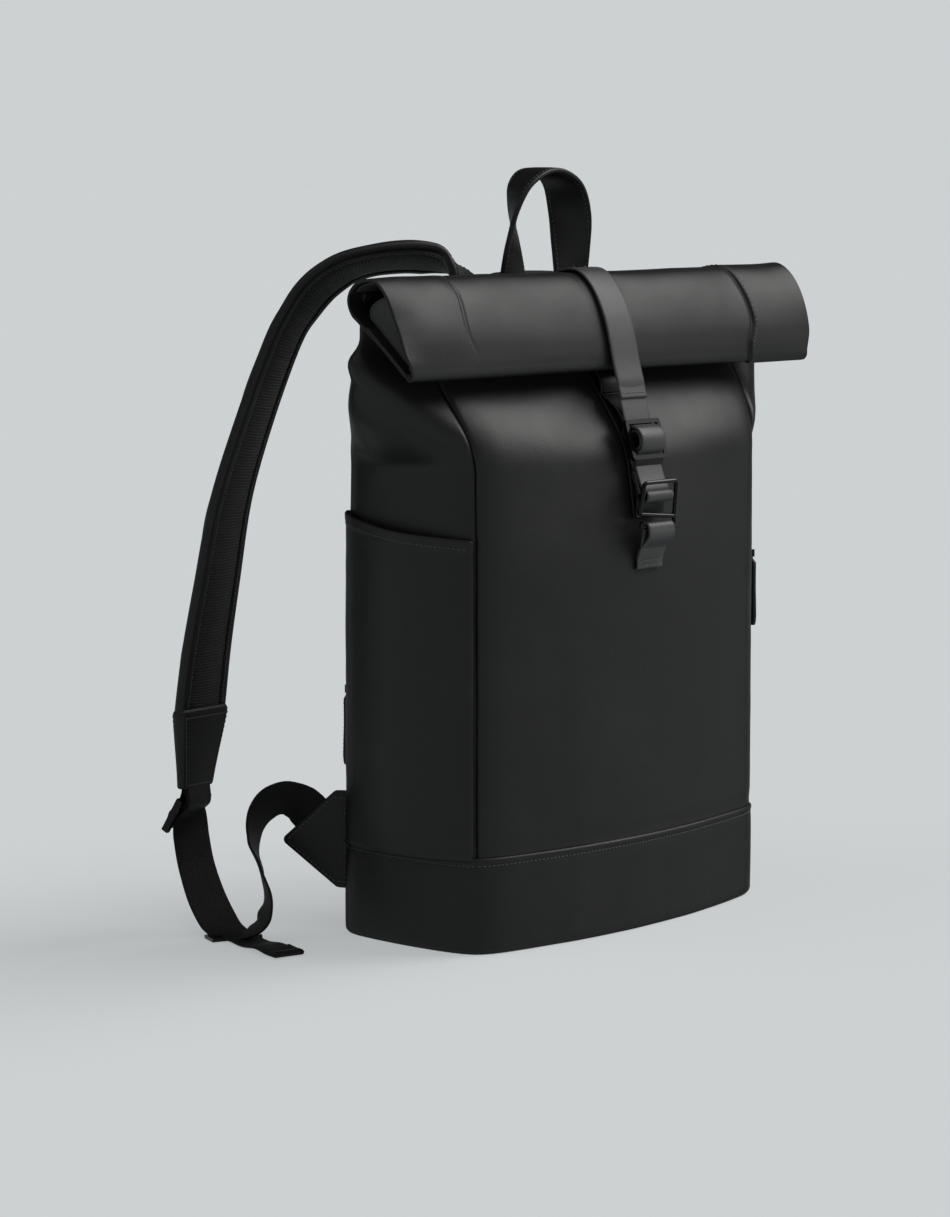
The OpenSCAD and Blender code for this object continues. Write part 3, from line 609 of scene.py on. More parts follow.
def back_pad(name, x0, x1, z0, z1, rise):
    """One padded field of air mesh on the back, domed, with its edge sewn down."""
    xs, zs = spread(x0, x1, 3.5), spread(z0, z1, 3.5)
    r = section(zs, 0.4)[:, BR:BL + 1]
    y = np.stack([np.interp(xs, row[::-1, 0], row[::-1, 1]) for row in r])
    p = np.stack([np.broadcast_to(xs, y.shape), y, np.broadcast_to(zs[:, None], y.shape)], 2)
    e = np.minimum(np.minimum(xs - x0, x1 - xs)[None], np.minimum(zs - z0, z1 - zs)[:, None])
    dome = rise * (1 - np.exp(-e / 6.0)) + 0.5 * ripple(p, 40, int(x0 + z0) % 97) * np.clip(e / 8, 0, 1) + 0.5
    q = p + np.array([0, 1.0, 0]) * dome[..., None]
    uv = np.stack([q[..., 0], q[..., 2]], 2)
    ob = slab(name, q[:, ::-1], (p - [0, 0.6, 0])[:, ::-1], MESH, uv=uv[:, ::-1])
    place(ob, "bag", "air_mesh")
    xi0, xi1, zi0, zi1 = x0 + 2.2, x1 - 2.2, z0 + 2.2, z1 - 2.2
    ring = rounded([(xi0, zi0), (xi1, zi0), (xi1, zi1), (xi0, zi1)], 4, closed=True)
    ring = np.concatenate([ring, ring[:1]])
    yy = np.array([np.interp(a, xs, [np.interp(b, zs, q[:, k, 1]) for k in range(len(xs))]) for a, b in ring])
    stitch("bag", even(np.stack([ring[:, 0], yy, ring[:, 1]], 1), 1.5), [0, 1, 0])


for k, (z0, z1) in enumerate(((84, 150), (154, 220), (224, 290), (294, 352))):
    for s in (-1, 1):
        lo, hi = sorted((s * 8, s * 112))
        back_pad(f"back_pad_{k}_{'left' if s < 0 else 'right'}", lo, hi, z0, z1, 4.6)

# ---------------------------------------------------------------- base band
u_all = np.arange(0, RING, 0.15)
bz = np.array([0, 0.4, 1.2, 2.4, 4, 8, 14, 20, 26, 32, 38, 44, 50, 55, 58.4, 59.6, 60.6, 61.6, 62.8, 63.6,
               BASE_H + 0.6])
base_p = body_grid(u_all, bz, -0.5)
base_n = unit(np.cross(np.roll(base_p, -1, 1) - np.roll(base_p, 1, 1), np.gradient(base_p, axis=0)))
bd = 0.35 * ripple(base_p, 70, 31) + 0.12 * ripple(base_p, 24, 32)
zz = base_p[..., 2]
bd -= 2.6 * np.clip(1 - zz / 4.0, 0, 1) ** 2
bd -= 0.35 * np.exp(-((zz - 59.8) / 1.3) ** 2)
bd += 0.35 * np.exp(-((zz - 63.0) / 1.2) ** 2)
base_q = base_p + base_n * bd[..., None]
base_q[..., 2] = bz[:, None]
band = slab("base_band", base_q, base_q - base_n * 2.0, BASE, wrap=True, bulge=0.5)
place(band, "bag", "base_leather", "base_wrap")
row = 15
ring_line = np.concatenate([base_q[row], base_q[row][:1]])
ring_nrm = np.concatenate([base_n[row], base_n[row][:1]])
keep = ring_line.copy()
keep[:, 2] = 60.0
stitch("bag", keep, ring_nrm)
# a back seam in the band
seam = base_q[3:16, int(24 / 0.15)]
stitch("bag", seam + [3.0, 0.2, 0], [0, 1, 0])

floor_ring = body_grid(u_all, np.array([0.0]), 2.6)[0]
c0 = floor_ring.mean(0)
fl = []
for k in (1.0, 0.985, 0.95, 0.8, 0.6, 0.4, 0.2, 0.02):
    pt = c0 + (floor_ring - c0) * k
    pt[:, 2] = 0.55 if k == 1.0 else (0.15 if k == 0.985 else 0.05)
    fl.append(pt)
fl = np.array(fl)[::-1]
under = slab("base_underside", fl[:, ::-1], (fl + [0, 0, 2.0])[:, ::-1], BASE, wrap=True)
place(under, "bag", "base_leather", "base_floor")
inner_line = c0 + (floor_ring - c0) * 0.93
inner_line[:, 2] = 0.0
stitch("bag", np.concatenate([inner_line, inner_line[:1]]), [0, 0, -1], lift=-0.12)

# ---------------------------------------------------------------- inside: lining and laptop sleeve
lz = np.unique(np.concatenate([np.arange(4, 424, 6.0), [424.6]]))
lin_p = body_grid(np.arange(0, RING, 0.25), lz, 3.0, tb=9.4)
lin_n = unit(np.cross(np.roll(lin_p, -1, 1) - np.roll(lin_p, 1, 1), np.gradient(lin_p, axis=0)))
lin_d = 0.35 * ripple(lin_p, 40, 41)
lin_q = lin_p + lin_n * (lin_d - 0.4)[..., None]
cloth_in = slab("lining_cloth", lin_q, lin_q - lin_n * 0.7, LINING, wrap=True)
place(cloth_in, "bag", "lining", "lining")
lo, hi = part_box("laptop_sleeve")
xs, zs = spread(lo[0] * 1000 + 1, hi[0] * 1000 - 1, 8), spread(lo[2] * 1000, hi[2] * 1000, 8)
gx, gz = np.meshgrid(xs, zs)
yc = (lo[1] + hi[1]) * 500
sp = np.stack([gx, np.full(gx.shape, yc), gz], 2)
sp[..., 1] += 1.2 * ripple(sp, 90, 43) - 0.7
sleeve_ob = slab("laptop_sleeve_cloth", sp, sp + [0, 1.3, 0], LINING)
place(sleeve_ob, "bag", "lining", "laptop_sleeve")
stitch("bag", np.stack([xs, np.interp(xs, xs, sp[-1, :, 1]), np.full(len(xs), zs[-1] - 5)], 1), [0, -1, 0])

# ---------------------------------------------------------------- bottle pocket on the left side
pu = u_stations(BL + 0.12, RING - 0.12, 0.1)
hem_z = 290 - 14 * (pu - BL) / 8
across01 = (pu - pu[0]) / (pu[-1] - pu[0])
hem_z = hem_z - 2.2 * np.sin(math.pi * across01) ** 2
rows = np.unique(np.concatenate([np.linspace(0, 1, 64), 1 - np.array([1, 2, 3.5, 5, 6, 7, 8.5]) / 215]))
pz = 64.4 + (hem_z[None] - 64.4) * rows[:, None]
pp = np.stack([along_ring(section(pz[:, k], -1.6, puff=8.0), pu[k:k + 1])[:, 0] for k in range(len(pu))], 1)
pp = np.concatenate([pp, pz[..., None]], 2)
pn = grid_normals(pp)
pa, pb = border_distance(pp)
drop = hem_z[None] - pz
pd = 0.7 * ripple(pp, 90, 51) + 0.22 * ripple(pp, 28, 52)
pd -= edge_sink(pa, 1.6, 4.5) + edge_sink(pb, 1.6, 4.5)
pd += 0.7 * (1 - ease((drop - 6.5) / 1.2)) - 0.35 * np.exp(-((drop - 5.6) / 0.9) ** 2)
pd += 0.9 * np.exp(-((drop - 30) / 26) ** 2) * np.sin(math.pi * across01)[None] ** 2
pd -= 0.7 * np.exp(-((pp[..., 2] - 69) / 5) ** 2)
pq = pp + pn * pd[..., None]
pocket = slab("pocket_cover", pq, pq - pn * 1.9, LEATHER, bulge=0.6)
place(pocket, "bag", "leather", "bottle_pocket")


def on_pocket(below):
    """The pocket's outer face a set distance below its hem."""
    line = np.stack([[np.interp(-below, -drop[:, k], pq[:, k, j]) for j in range(3)] for k in range(len(pu))])
    nr = np.stack([[np.interp(-below, -drop[:, k], pn[:, k, j]) for j in range(3)] for k in range(len(pu))])
    return line[6:-6], unit(nr[6:-6])


line, nr = on_pocket(5.6)
stitch("bag", line, nr)


# ---------------------------------------------------------------- zips
def local_frame(dir_deg, pos):
    a = math.radians(dir_deg)
    ex, ey = np.array([math.cos(a), math.sin(a), 0]), np.array([-math.sin(a), math.cos(a), 0])
    return lambda p: np.asarray(pos, float) + np.asarray(p, float) @ np.array([ex, ey, [0, 0, 1]])


# one coil tooth: places along its length and radius there
TOOTH = ((-1.25, 0.35), (-0.5, 0.62), (0.5, 0.62), (1.25, 0.35))
HEXAGON = [(math.cos(a * math.pi / 3), math.sin(a * math.pi / 3)) for a in range(6)]


def zip_line(name, pos, turn, z0, z1, body, node):
    """Tape with a row of coil teeth down its middle and leather lips on both sides."""
    to = local_frame(turn, (*pos, 0))
    zs = np.arange(z0, z1 + 0.1, 4.0)
    ey = to([0, 1, 0]) - to([0, 0, 0])

    def upright(x, y):
        return to(np.stack([0 * zs + x, 0 * zs + y, zs], 1))

    place(sweep(name + "_tape", upright(0.5, 0), ey, flat_prof(13, -0.5, 0.5), WEB), body, "webbing", node)
    tooth = np.array([(r * x, dy, r * z) for dy, r in TOOTH for x, z in HEXAGON])
    teeth = [to(tooth + [1.75, s * 1.15, z + s * 0.38]) for z in np.arange(z0 + 5, z1 - 4, 1.5) for s in (-1, 1)]
    place(beads(name + "_teeth", np.array(teeth), METAL), body, "metal")
    for s, end in ((-1, "a"), (1, "b")):
        lip = sweep(f"{name}_lip_{end}", upright(1.2, s * 6.2), ey, flat_prof(4.2, -0.9, 0.9, n=7), TRIM)
        place(lip, body, "trim_leather")


def puller(name, pos, turn, z, body, node):
    """Folded leather tab on a small pin, with a sewn edge."""
    to = local_frame(turn, (*pos, z))
    ex, ey = to([1, 0, 0]) - to([0, 0, 0]), to([0, 1, 0]) - to([0, 0, 0])
    zs = np.array([-3.2, -4.2, -6.5, -9, -12, -20, -30, -40, -50, -55, -57.4])
    w = np.array([3.0, 3.0, 3.2, 5.5, 12.6, 13, 13, 13, 13, 12.4, 10.8])
    th = np.array([1.0, 1.5, 1.5, 1.7, 2, 2, 2, 2, 2, 1.9, 1.6])
    out = 6.9 + 0.35 * np.sin((zs + 10) / 9.0)
    prof = np.stack([flat_prof(a, -b, b, n=7, seg=4) for a, b in zip(w, th)])
    tab = sweep(name, to(np.stack([out, 0 * zs, zs], 1)), ey, prof, TRIM)
    place(tab, body, "trim_leather", node)
    seam_z = np.arange(-14, -54, -1.0)
    for s in (-1, 1):
        seam = np.stack([np.interp(seam_z, zs[::-1], out[::-1]) + 2.0, 0 * seam_z + s * 4.6, seam_z], 1)
        stitch(body, to(seam), ex, pitch=2.8, length=2.0, r=0.28)
    pin = sweep(name + "_pin", to([[6.9, y, -5.3] for y in (-3.4, 0, 3.4)]), [0, 0, 1], tube_prof(0.9), METAL)
    place(pin, body, "metal")


SIDE_ZIP, BACK_ZIP = ((155.42, -44.77), -13.43), ((-135.79, 61.63), 102.95)
zip_line("side_zip", *SIDE_ZIP, 84, 256, "bag", "side_zip_tape")
zip_line("back_zip", *BACK_ZIP, 110, 290, "bag", "back_zip_tape")
puller("side_zip_tab", *SIDE_ZIP, 250, "side_puller", "side_zip_puller")
puller("back_zip_tab", *BACK_ZIP, 172, "back_puller", "back_zip_puller")


# ---------------------------------------------------------------- the roll
X = np.array([1.0, 0, 0])
# outline of the roll's outer face in the YZ plane, from its crest down its front
CREST = [(-5.2, 439.5), (-7, 442.5), (-12, 447), (-21, 449.6), (-30, 449), (-38, 443.5), (-45, 434.5),
         (-51, 422.5), (-55.3, 410)]
flap_yz = spline([*CREST, (-57.8, 398), (-58.6, 391.6)], 8)
FOLD = np.array([-55.0, 387.4])


def yz_path(yz):
    return np.stack([0 * yz[:, 0], yz[:, 0], yz[:, 1]], 1)


def sheet_along_x(name, yz, xs, thick, mat, shape=None, trim=None):
    """A sheet along X from its outer line in the YZ plane, thick inwards."""
    base = np.broadcast_to(yz_path(yz)[:, None], (len(yz), len(xs), 3)).copy()
    base[..., 0] = xs[None]
    t = unit(np.gradient(yz_path(yz), axis=0))
    n = np.cross(t, X)
    s = arc_len(yz_path(yz))
    if trim is not None:
        base[..., 0] = trim(base[..., 0], s[:, None])
    d = 0 if shape is None else shape(base, s[:, None])
    q = base + n[:, None] * np.asarray(d)[..., None] if shape is not None else base
    ob = slab(name, q, q - n[:, None] * thick, mat, bulge=0.5)
    return ob, q, np.broadcast_to(n[:, None], q.shape), s


arc = np.radians(np.linspace(160, 305, 12))
wrap_yz = np.stack([FOLD[0] + 3.9 * np.cos(arc), FOLD[1] + 3.9 * np.sin(arc)], 1)
roll_yz = even(yz_path(np.concatenate([flap_yz[:-3], wrap_yz])), 2.2)[:, 1:]
S_FOLD = arc_len(yz_path(flap_yz))[-1]


def seam_x(s):
    """How far out the gusset's seam lies on the roll, from the crest down to the fold."""
    return 137 + 13 * ease(s / 40) + 3.0 * ease((s - 40) / 30) - 8 * ease((s - 72) / 22)


def roll_shape(p, s):
    x = p[..., 0]
    mid = np.sin(math.pi * np.clip((s - 8) / (S_FOLD - 12), 0, 1))
    d = mid * (0.8 * ripple(p, 140, 61) + 0.28 * ripple(p, 42, 62) + 0.6)
    right = x - seam_x(s)
    d = d + 1.3 * ease((right + 0.6) / 1.2) * (x > 0)
    d = d - 0.5 * np.exp(-((right + 1.6) / 1.6) ** 2) * (x > 0)
    left = -x - seam_x(s)
    d = d - 0.75 * np.exp(-(left / 1.5) ** 2) * (x < 0) * mid
    d = d + 0.8 * ease(left / 12) * (x < 0) * mid
    end = np.clip((np.abs(x) - (ROLL_HALF - 26)) / 26, 0, 1)
    d = d + mid * np.where(x > 0, 1.6 * end**2, -5.2 * end**1.6 * np.clip(s / 60, 0.1, 1))
    d = d + 0.9 * mid * np.exp(-((np.abs(x) - 17.5) / 5) ** 2) * -1
    return d


def roll_trim(x, s):
    corner = ease((s - (S_FOLD - 16)) / 20)
    return x * (1 - 0.020 * corner**1.5 * ease((np.abs(x) - 180) / 35))


near_seam = np.arange(134, 158, 0.8)
roll_x = np.unique(np.concatenate([spread(-ROLL_HALF, ROLL_HALF, 3.4), near_seam, -near_seam]))
# the roll's cover takes the lighter leather, its painted highlight
roll, roll_q, roll_n, roll_s = sheet_along_x("roll_cover", roll_yz, roll_x, 2.1, ROLL_LIT_LEATHER, roll_shape, roll_trim)
place(roll, "roll", "leather", "roll_outer", "roll_patch_left", "roll_patch_right")


def on_roll(xf, s0, s1, step=1.0):
    """Line over the roll's outer face at x = xf(s)."""
    out, nrm = [], []
    for s in np.arange(s0, s1, step):
        k = int(np.clip(np.searchsorted(roll_s, s), 1, len(roll_s) - 1))
        f = (s - roll_s[k - 1]) / (roll_s[k] - roll_s[k - 1])
        r = roll_q[k - 1] * (1 - f) + roll_q[k] * f
        x = xf(s)
        out.append([np.interp(x, r[:, 0], r[:, j]) for j in range(3)])
        nrm.append(roll_n[k, 0])
    return np.array(out), np.array(nrm)


stitch("roll", *on_roll(lambda s: float(seam_x(s)) + 2.6, 4, S_FOLD))
stitch("roll", *on_roll(lambda s: -float(seam_x(s)) - 2.6, 4, S_FOLD), r=0.26, lift=0.0)

# inner face of the roll, a lining cloth sewn inside the leather
inner_yz = roll_yz[2:-6]
t_in = unit(np.gradient(yz_path(inner_yz), axis=0))
n_in = np.cross(t_in, X)
cloth_yz = (yz_path(inner_yz) - n_in * 2.35)[:, 1:]
ob, *_ = sheet_along_x("roll_facing", cloth_yz, spread(-ROLL_HALF + 4, ROLL_HALF - 4, 9), 1.0, HEM,
                       lambda p, s: 0.15 * ripple(p, 30, 65) - 0.1)
place(ob, "roll", "lining")

# fixed back of the roll
back_yz = spline([(0.2, 426.8), (-1.2, 431), (-4, 437), (-5.4, 440)], 6)
ob, *_ = sheet_along_x("roll_back_cover", back_yz, spread(14 - ROLL_HALF, ROLL_HALF - 14, 6), 3.6, ROLL_LIT_LEATHER,
                       lambda p, s: 0.25 * ripple(p, 60, 66))
place(ob, "bag", "leather", "roll_back")
# at each end the bag's own leather closes the roll's back, from the mouth up to the crest
close_yz = spline([(-27, 409.6), (-20, 415.4), (-13.2, 420.9), (-8.4, 424.6), (-5.4, 429.2), (-4.0, 434),
                   (-4.4, 438.2), (-5.9, 440)], 6)
close_yz = even(yz_path(close_yz), 1.6)[:, 1:]
end_x = spread(ROLL_HALF - 24, ROLL_HALF - 0.6, 3)
for side, xs in (("left", -end_x[::-1]), ("right", end_x)):
    ob, *_ = sheet_along_x("roll_end_" + side, close_yz, xs, 1.9, LEATHER,
                           lambda p, s: 0.2 * ripple(p, 30, 69))
    place(ob, "bag", "leather")

# the mouth's hem, folded back up inside the roll
hem_dir = np.array([math.cos(math.radians(41)), math.sin(math.radians(41))])
hem_end = FOLD + hem_dir * 45.5
hem_n = np.array([-hem_dir[1], hem_dir[0]])
hem_yz = np.concatenate([[FOLD + hem_dir * k + hem_n * 1.4] for k in np.linspace(0.5, 45.5, 16)])
ob, *_ = sheet_along_x("mouth_hem", hem_yz[::-1], spread(-ROLL_HALF + 1, ROLL_HALF - 1, 5), 2.8, LEATHER,
                       lambda p, s: 0.18 * ripple(p, 45, 67))
place(ob, "mouth_hem", "leather", "roll_inner", "mouth_stiffener")
fold_rod = sweep("hem_fold", [[x, *FOLD] for x in np.linspace(-ROLL_HALF + 2, ROLL_HALF - 2, 60)], [0, 1, 0],
                 tube_prof(1.7, 14), LEATHER)
place(fold_rod, "mouth_hem", "leather")
# the tube's turned-in ends, which fill the roll like a flat pocket
outline = rounded([(-51.6, 392.0), (-40, 402.8), (-24.5, 416.6), (-15.2, 424.6), (-17.4, 432.0), (-25, 437.0),
                   (-34, 439.2), (-38.6, 430), (-43.6, 415), (-49.0, 400)], 5, closed=True)
for s in (-1, 1):
    c0 = outline.mean(0)
    # |x| of each ring, and its size
    levels = ((204.8, 0.9), (205.8, 0.965), (206.2, 0.99), (205.4, 1.0), (180, 1.0), (152, 0.98),
              (150.5, 0.9))
    grid = []
    for x, k in levels:
        o = c0 + (outline - c0) * k
        wob = 0.25 * ripple(np.stack([0 * o[:, 0] + x, o[:, 0], o[:, 1]], 1), 14, 68)
        grid.append(np.stack([np.full(len(o), s * x), o[:, 0] + wob, o[:, 1] + wob], 1))
    g = np.array(grid)
    m = g.shape[1]
    faces = quads(len(g), m, 0, True, flip=s > 0).tolist()
    cap0, cap1 = len(g) * m, len(g) * m + 1
    v = np.concatenate([g.reshape(-1, 3), [[s * 204.5, *c0], [s * 150.5, *c0]]])
    for j in range(m):
        k = (j + 1) % m
        faces.append([k, j, cap0] if s < 0 else [j, k, cap0])
        a, b = (len(g) - 1) * m + j, (len(g) - 1) * m + k
        faces.append([a, b, cap1] if s < 0 else [b, a, cap1])
    ob = make("hem_end_" + ("left" if s < 0 else "right"), v, faces, HEM)
    place(ob, "mouth_hem", "lining")

# ---------------------------------------------------------------- closure strap
strap_top = spline([*CREST, (-58.2, 399), (-60.1, 391), (-62.0, 384), (-65.0, 374), (-67.6, 365.2)], 8)
strap_path = even(yz_path(strap_top), 1.6)
sl = arc_len(strap_path)
strap_w = 28.6 - 0.4 * ease((sl - sl[-1] + 12) / 12)
strap_hi = 3.0 - 1.5 * ease((sl - sl[-1] + 13) / 13)
prof = np.stack([flat_prof(w, 1.1, h, n=13, seg=4, crown=0.25) for w, h in zip(strap_w, strap_hi)])
prof[..., 1] += 0.12 * np.sin(sl / 9.0)[:, None]
closure = sweep("closure_strap", strap_path, X, prof, STRAP)
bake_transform(closure)
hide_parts("closure_strap")
anchor_yz = [(13.0, 397), (9.5, 404), (6.5, 411), (4.2, 418), (2.4, 425), (0.2, 431.5), (-2.3, 437.8)]
anchor_path = even(yz_path(np.array(anchor_yz)), 2)
anchor = sweep("closure_anchor", anchor_path[::-1], X, flat_prof(30, 1.0, 2.6, crown=0.2), TRIM)
place(anchor, "bag", "trim_leather", "closure_anchor")

TILT = math.radians(17)


def tail(p):
    """From the hanging strap's own frame (x across, y behind, z up from the pivot) to the bag's frame."""
    p = np.asarray(p, float)
    y, z = p[..., 1], p[..., 2]
    return np.stack([p[..., 0], -61.6 + y * math.cos(TILT) + z * math.sin(TILT),
                     387 - y * math.sin(TILT) + z * math.cos(TILT)], -1)


def yz3(points):
    return np.array([[0, a, b] for a, b in points], float)


# sewn end of the leather strap, and its turned-under layer
def cross_row(body, half, y, z, normal, to=np.array, **kw):
    """A stitched row straight across, half to each side of the middle."""
    stitch(body, even(to([[-half, y, z], [half, y, z]]), 1), normal, **kw)


under_end = even(tail(spline(yz3([(-0.6, -3), (-0.5, -10), (-0.45, -18), (-0.5, -23.6)]), 4)), 1.5)
ob = sweep("strap_turn", under_end, X, flat_prof(28, -0.1, 1.5), STRAP)
place(ob, "closure_tail", "trim_leather")
cross_row("closure_tail", 12.4, -2.0, -20.0, tail([0, -1, 0]) - tail([0, 0, 0]), tail)

web_line = spline(yz3([(0.3, -20), (0.3, -36), (0.6, -53), (0.2, -70), (-0.6, -82), (-2.6, -87.6),
                       (-4.6, -90.4), (-4.7, -93.4), (-2.6, -95.5), (-0.4, -95.3), (1.2, -93),
                       (1.9, -88), (2.2, -78), (2.4, -64)]), 6)
web_line = even(web_line, 1.1)
ob = sweep("strap_lower", tail(web_line), X, flat_prof(28, -0.85, 0.85, crown=0.1), STRAP)
place(ob, "closure_tail", "trim_leather", "tail_web")

# slider: its fold of leather, in layers
fold_line = even(spline(yz3([(1.6, -40.5), (-1.0, -43.0), (-4.6, -44.2), (-8.0, -46.8), (-9.7, -51), (-9.6, -55.5),
                             (-7.9, -59.6), (-4.6, -61.8), (-1.0, -62.6), (1.8, -65.5)]), 6), 0.9)
ob = sweep("slider_fold", tail(fold_line), X, flat_prof(25.6, -1.0, 1.0, crown=0.15), STRAP)
place(ob, "closure_slider", "trim_leather", "slider_fold")
inner_line = even(spline(yz3([(-1.0, -46.8), (-4.8, -46.9), (-7.3, -49.2), (-8.1, -53), (-7.0, -57.2), (-4.6, -59.2),
                              (-1.0, -59.4)]), 6), 0.9)
ob = sweep("slider_fold_inner", tail(inner_line), X, flat_prof(25, -0.8, 0.8), STRAP)
place(ob, "closure_slider", "trim_leather")

# hook: a cast frame with a hooked foot
BACK = math.radians(12)


def hook_at(p):
    """Hook's own upright frame, leaned back about its bar, in the tail's frame."""
    p = np.asarray(p, float)
    y, z = p[..., 1] + 1.4, p[..., 2] + 92
    c, s = math.cos(BACK), math.sin(BACK)
    return tail(np.stack([p[..., 0], -1.4 + y * c - z * s, -92 + y * s + z * c], -1))


def bar(name, points, w, t, fillet=2.5, closed=False, nodes=()):
    """A bar of rounded rectangular section through points in the hook's frame."""
    p = hook_at(rounded(points, fillet, 6, closed))
    if not closed:
        p = even(p, 0.8)
    sideways = hook_at([0, 1, 0]) - hook_at([0, 0, 0])
    ob = sweep(name, p, sideways, flat_prof(w, -t / 2, t / 2, n=5), METAL, closed=closed)
    place(ob, "closure_hook", "metal", *nodes)


frame_pts = [(-17.3, -5.6, -82.9), (17.3, -5.6, -82.9), (17.5, -4.2, -92), (17.4, -1.6, -107.2), (-20.6, -1.6, -103.6),
             (-18.4, -4.2, -92)]
bar("hook_frame", frame_pts, 3.2, 3.0, fillet=3.0, closed=True, nodes=("hook",))
bar("hook_foot", [(17.2, -1.8, -104), (17.2, -1.4, -113.0), (-15.5, -1.4, -113.0), (-19.2, -1.9, -112.2),
                  (-20.4, -3.6, -109.8), (-19.6, -5.4, -109.2)], 3.0, 3.0, fillet=2.6)
bar("hook_bar", [(-18.0, -1.4, -92), (-6, -1.4, -92), (6, -1.4, -92), (17.4, -1.4, -92)], 4.2, 4.2)
for s, side in ((-1, "left"), (1, "right")):
    bar("hook_lug_" + side, [(s * 17.6, -1.2, -92), (s * 17.6, -5.0, -92)], 3.6, 3.0)

# loop that the hook holds, sewn to the panel
HOOKED = hook_at([0, -1.4, -113])
ly, lz_ = HOOKED[1], HOOKED[2]
loop_pts = [(PANEL_Y - 1.0, 249.4), (PANEL_Y - 1.2, 256), (PANEL_Y - 3.2, 262.5), (ly - 3.0, lz_ - 7.5),
            (ly - 3.3, lz_ - 1), (ly - 1.9, lz_ + 2.3), (ly + 0.4, lz_ + 3.0), (ly + 2.6, lz_ + 1.5),
            (ly + 3.1, lz_ - 2.5), (PANEL_Y - 2.6, 264),
            (PANEL_Y + 0.2, 256), (PANEL_Y + 0.6, 249.8)]
loop_line = even(spline(yz3(loop_pts), 6), 1.0)
ob = sweep("hook_loop_leather", loop_line, X, flat_prof(27.5, -0.2, 1.7, crown=0.1), STRAP)
place(ob, "bag", "trim_leather", "hook_loop")
cross_row("bag", 11.6, PANEL_Y - 3.0, 251.8, [0, -1, 0], pitch=3.0)
cross_row("bag", 11.6, PANEL_Y - 3.1, 255.2, [0, -1, 0], pitch=3.0)

# ladder strip: a flat strip and, over it, one that is sewn down between its humps
lad_z = np.arange(388, 283.9, -1.0)


def panel_face(z):
    """Outer face of the front cover on the centre line."""
    z = np.asarray(z, float)
    c = ease((z - SHOULDER) / (MOUTH - SHOULDER))
    return -(62 - 53 * c) - 9 * c - 22 * (1 - ease((z - 240) / 185)) - 0.7


hump = (2.6 + 4.6 * ease((lad_z - 290) / 50)) * np.abs(np.sin(math.pi * (lad_z - 286) / 27.0)) ** 0.9
ob = sweep("ladder_base", yz3(np.stack([panel_face(lad_z) - 0.2, lad_z], 1)), X, flat_prof(31, 0, 1.3), TRIM)
place(ob, "bag", "trim_leather", "ladder_strip")
humps = yz3(np.stack([panel_face(lad_z) - 1.5 - hump, lad_z], 1))
ob = sweep("ladder_humps", humps, X, flat_prof(30, 0, 1.5), TRIM)
place(ob, "bag", "trim_leather")
for z in (286.0, 313, 340):
    cross_row("bag", 13.0, panel_face(z) - 3.1, z, [0, -1, 0], pitch=3.0)

# ---------------------------------------------------------------- handle
half_arch = [[31, 0, 0], [31, 0, 20], [31, 0, 42], [31, 0, 64], [30, 0, 84], [24, 0, 102], [13, 0, 112]]
handle_pts = spline([*([-x, y, z] for x, y, z in half_arch), [0, 0, 115], *half_arch[::-1]], 8)
part = np.linspace(0, 1, len(handle_pts))
turn = np.radians(90 * ease((0.439 - np.abs(part - 0.5)) / 0.435))
handle_across = np.stack([np.where(part < 0.5, 1.0, -1.0) * np.cos(turn), np.sin(turn), 0 * turn], 1)
hp, ha = even(handle_pts + [0, 13, 404], 2.2, handle_across)


def edge_stitched_prof(w, lo, hi):
    """Two layers with pressed stitch lines near both edges."""
    x = np.array([-w / 2 + 1.2, -w / 2 + 2.0, -w / 2 + 2.7, -w / 2 + 3.4, -w / 2 + 4.4, -w / 4, 0, w / 4,
                  w / 2 - 4.4, w / 2 - 3.4, w / 2 - 2.7, w / 2 - 2.0, w / 2 - 1.2])
    dip = np.array([0.1, 0, 0.3, 0, -0.1, -0.3, -0.35, -0.3, -0.1, 0, 0.3, 0, 0.1])
    ang = np.linspace(-math.pi / 2, math.pi / 2, 6)[1:-1]
    r = (hi - lo) / 2 - 0.1
    m = (lo + hi) / 2
    right = np.stack([w / 2 - 1.2 + 1.2 * np.cos(ang), m + r * np.sin(ang)], 1)
    left = np.stack([-w / 2 + 1.2 - 1.2 * np.cos(ang), m - r * np.sin(ang)], 1)
    return np.concatenate([np.stack([x, lo + dip], 1), right, np.stack([x[::-1], hi - dip[::-1]], 1), left])


ob = sweep("handle_strap", hp, ha, edge_stitched_prof(30, -1.8, 1.8), TRIM)
place(ob, "handle", "trim_leather", "handle")
_, haa, hn = sweep_frames(hp, ha)
for s in (-1, 1):
    for f in (-1, 1):
        stitch("handle", hp + haa * s * 12.3 + hn * f * 1.6, hn * f)

# ---------------------------------------------------------------- yoke on the back
yz_ = np.arange(358, 389, 2.0)
yoke_x = spread(-96, 96, 4)
r = section(yz_, 0.0)[:, BR:BL + 1]
yy = np.stack([np.interp(yoke_x, row[::-1, 0], row[::-1, 1]) for row in r])
yp = np.stack([np.broadcast_to(yoke_x, yy.shape), yy + 1.0, np.broadcast_to(yz_[:, None], yy.shape)], 2)
ob = slab("yoke", (yp + [0, 1.6, 0])[:, ::-1], yp[:, ::-1], TRIM)
place(ob, "bag", "trim_leather", "strap_yoke")
for zz_ in (361.5, 384.5):
    k = int(np.argmin(np.abs(yz_ - zz_)))
    stitch("bag", even(yp[k] + [0, 1.6, 0], 1.5), [0, 1, 0])
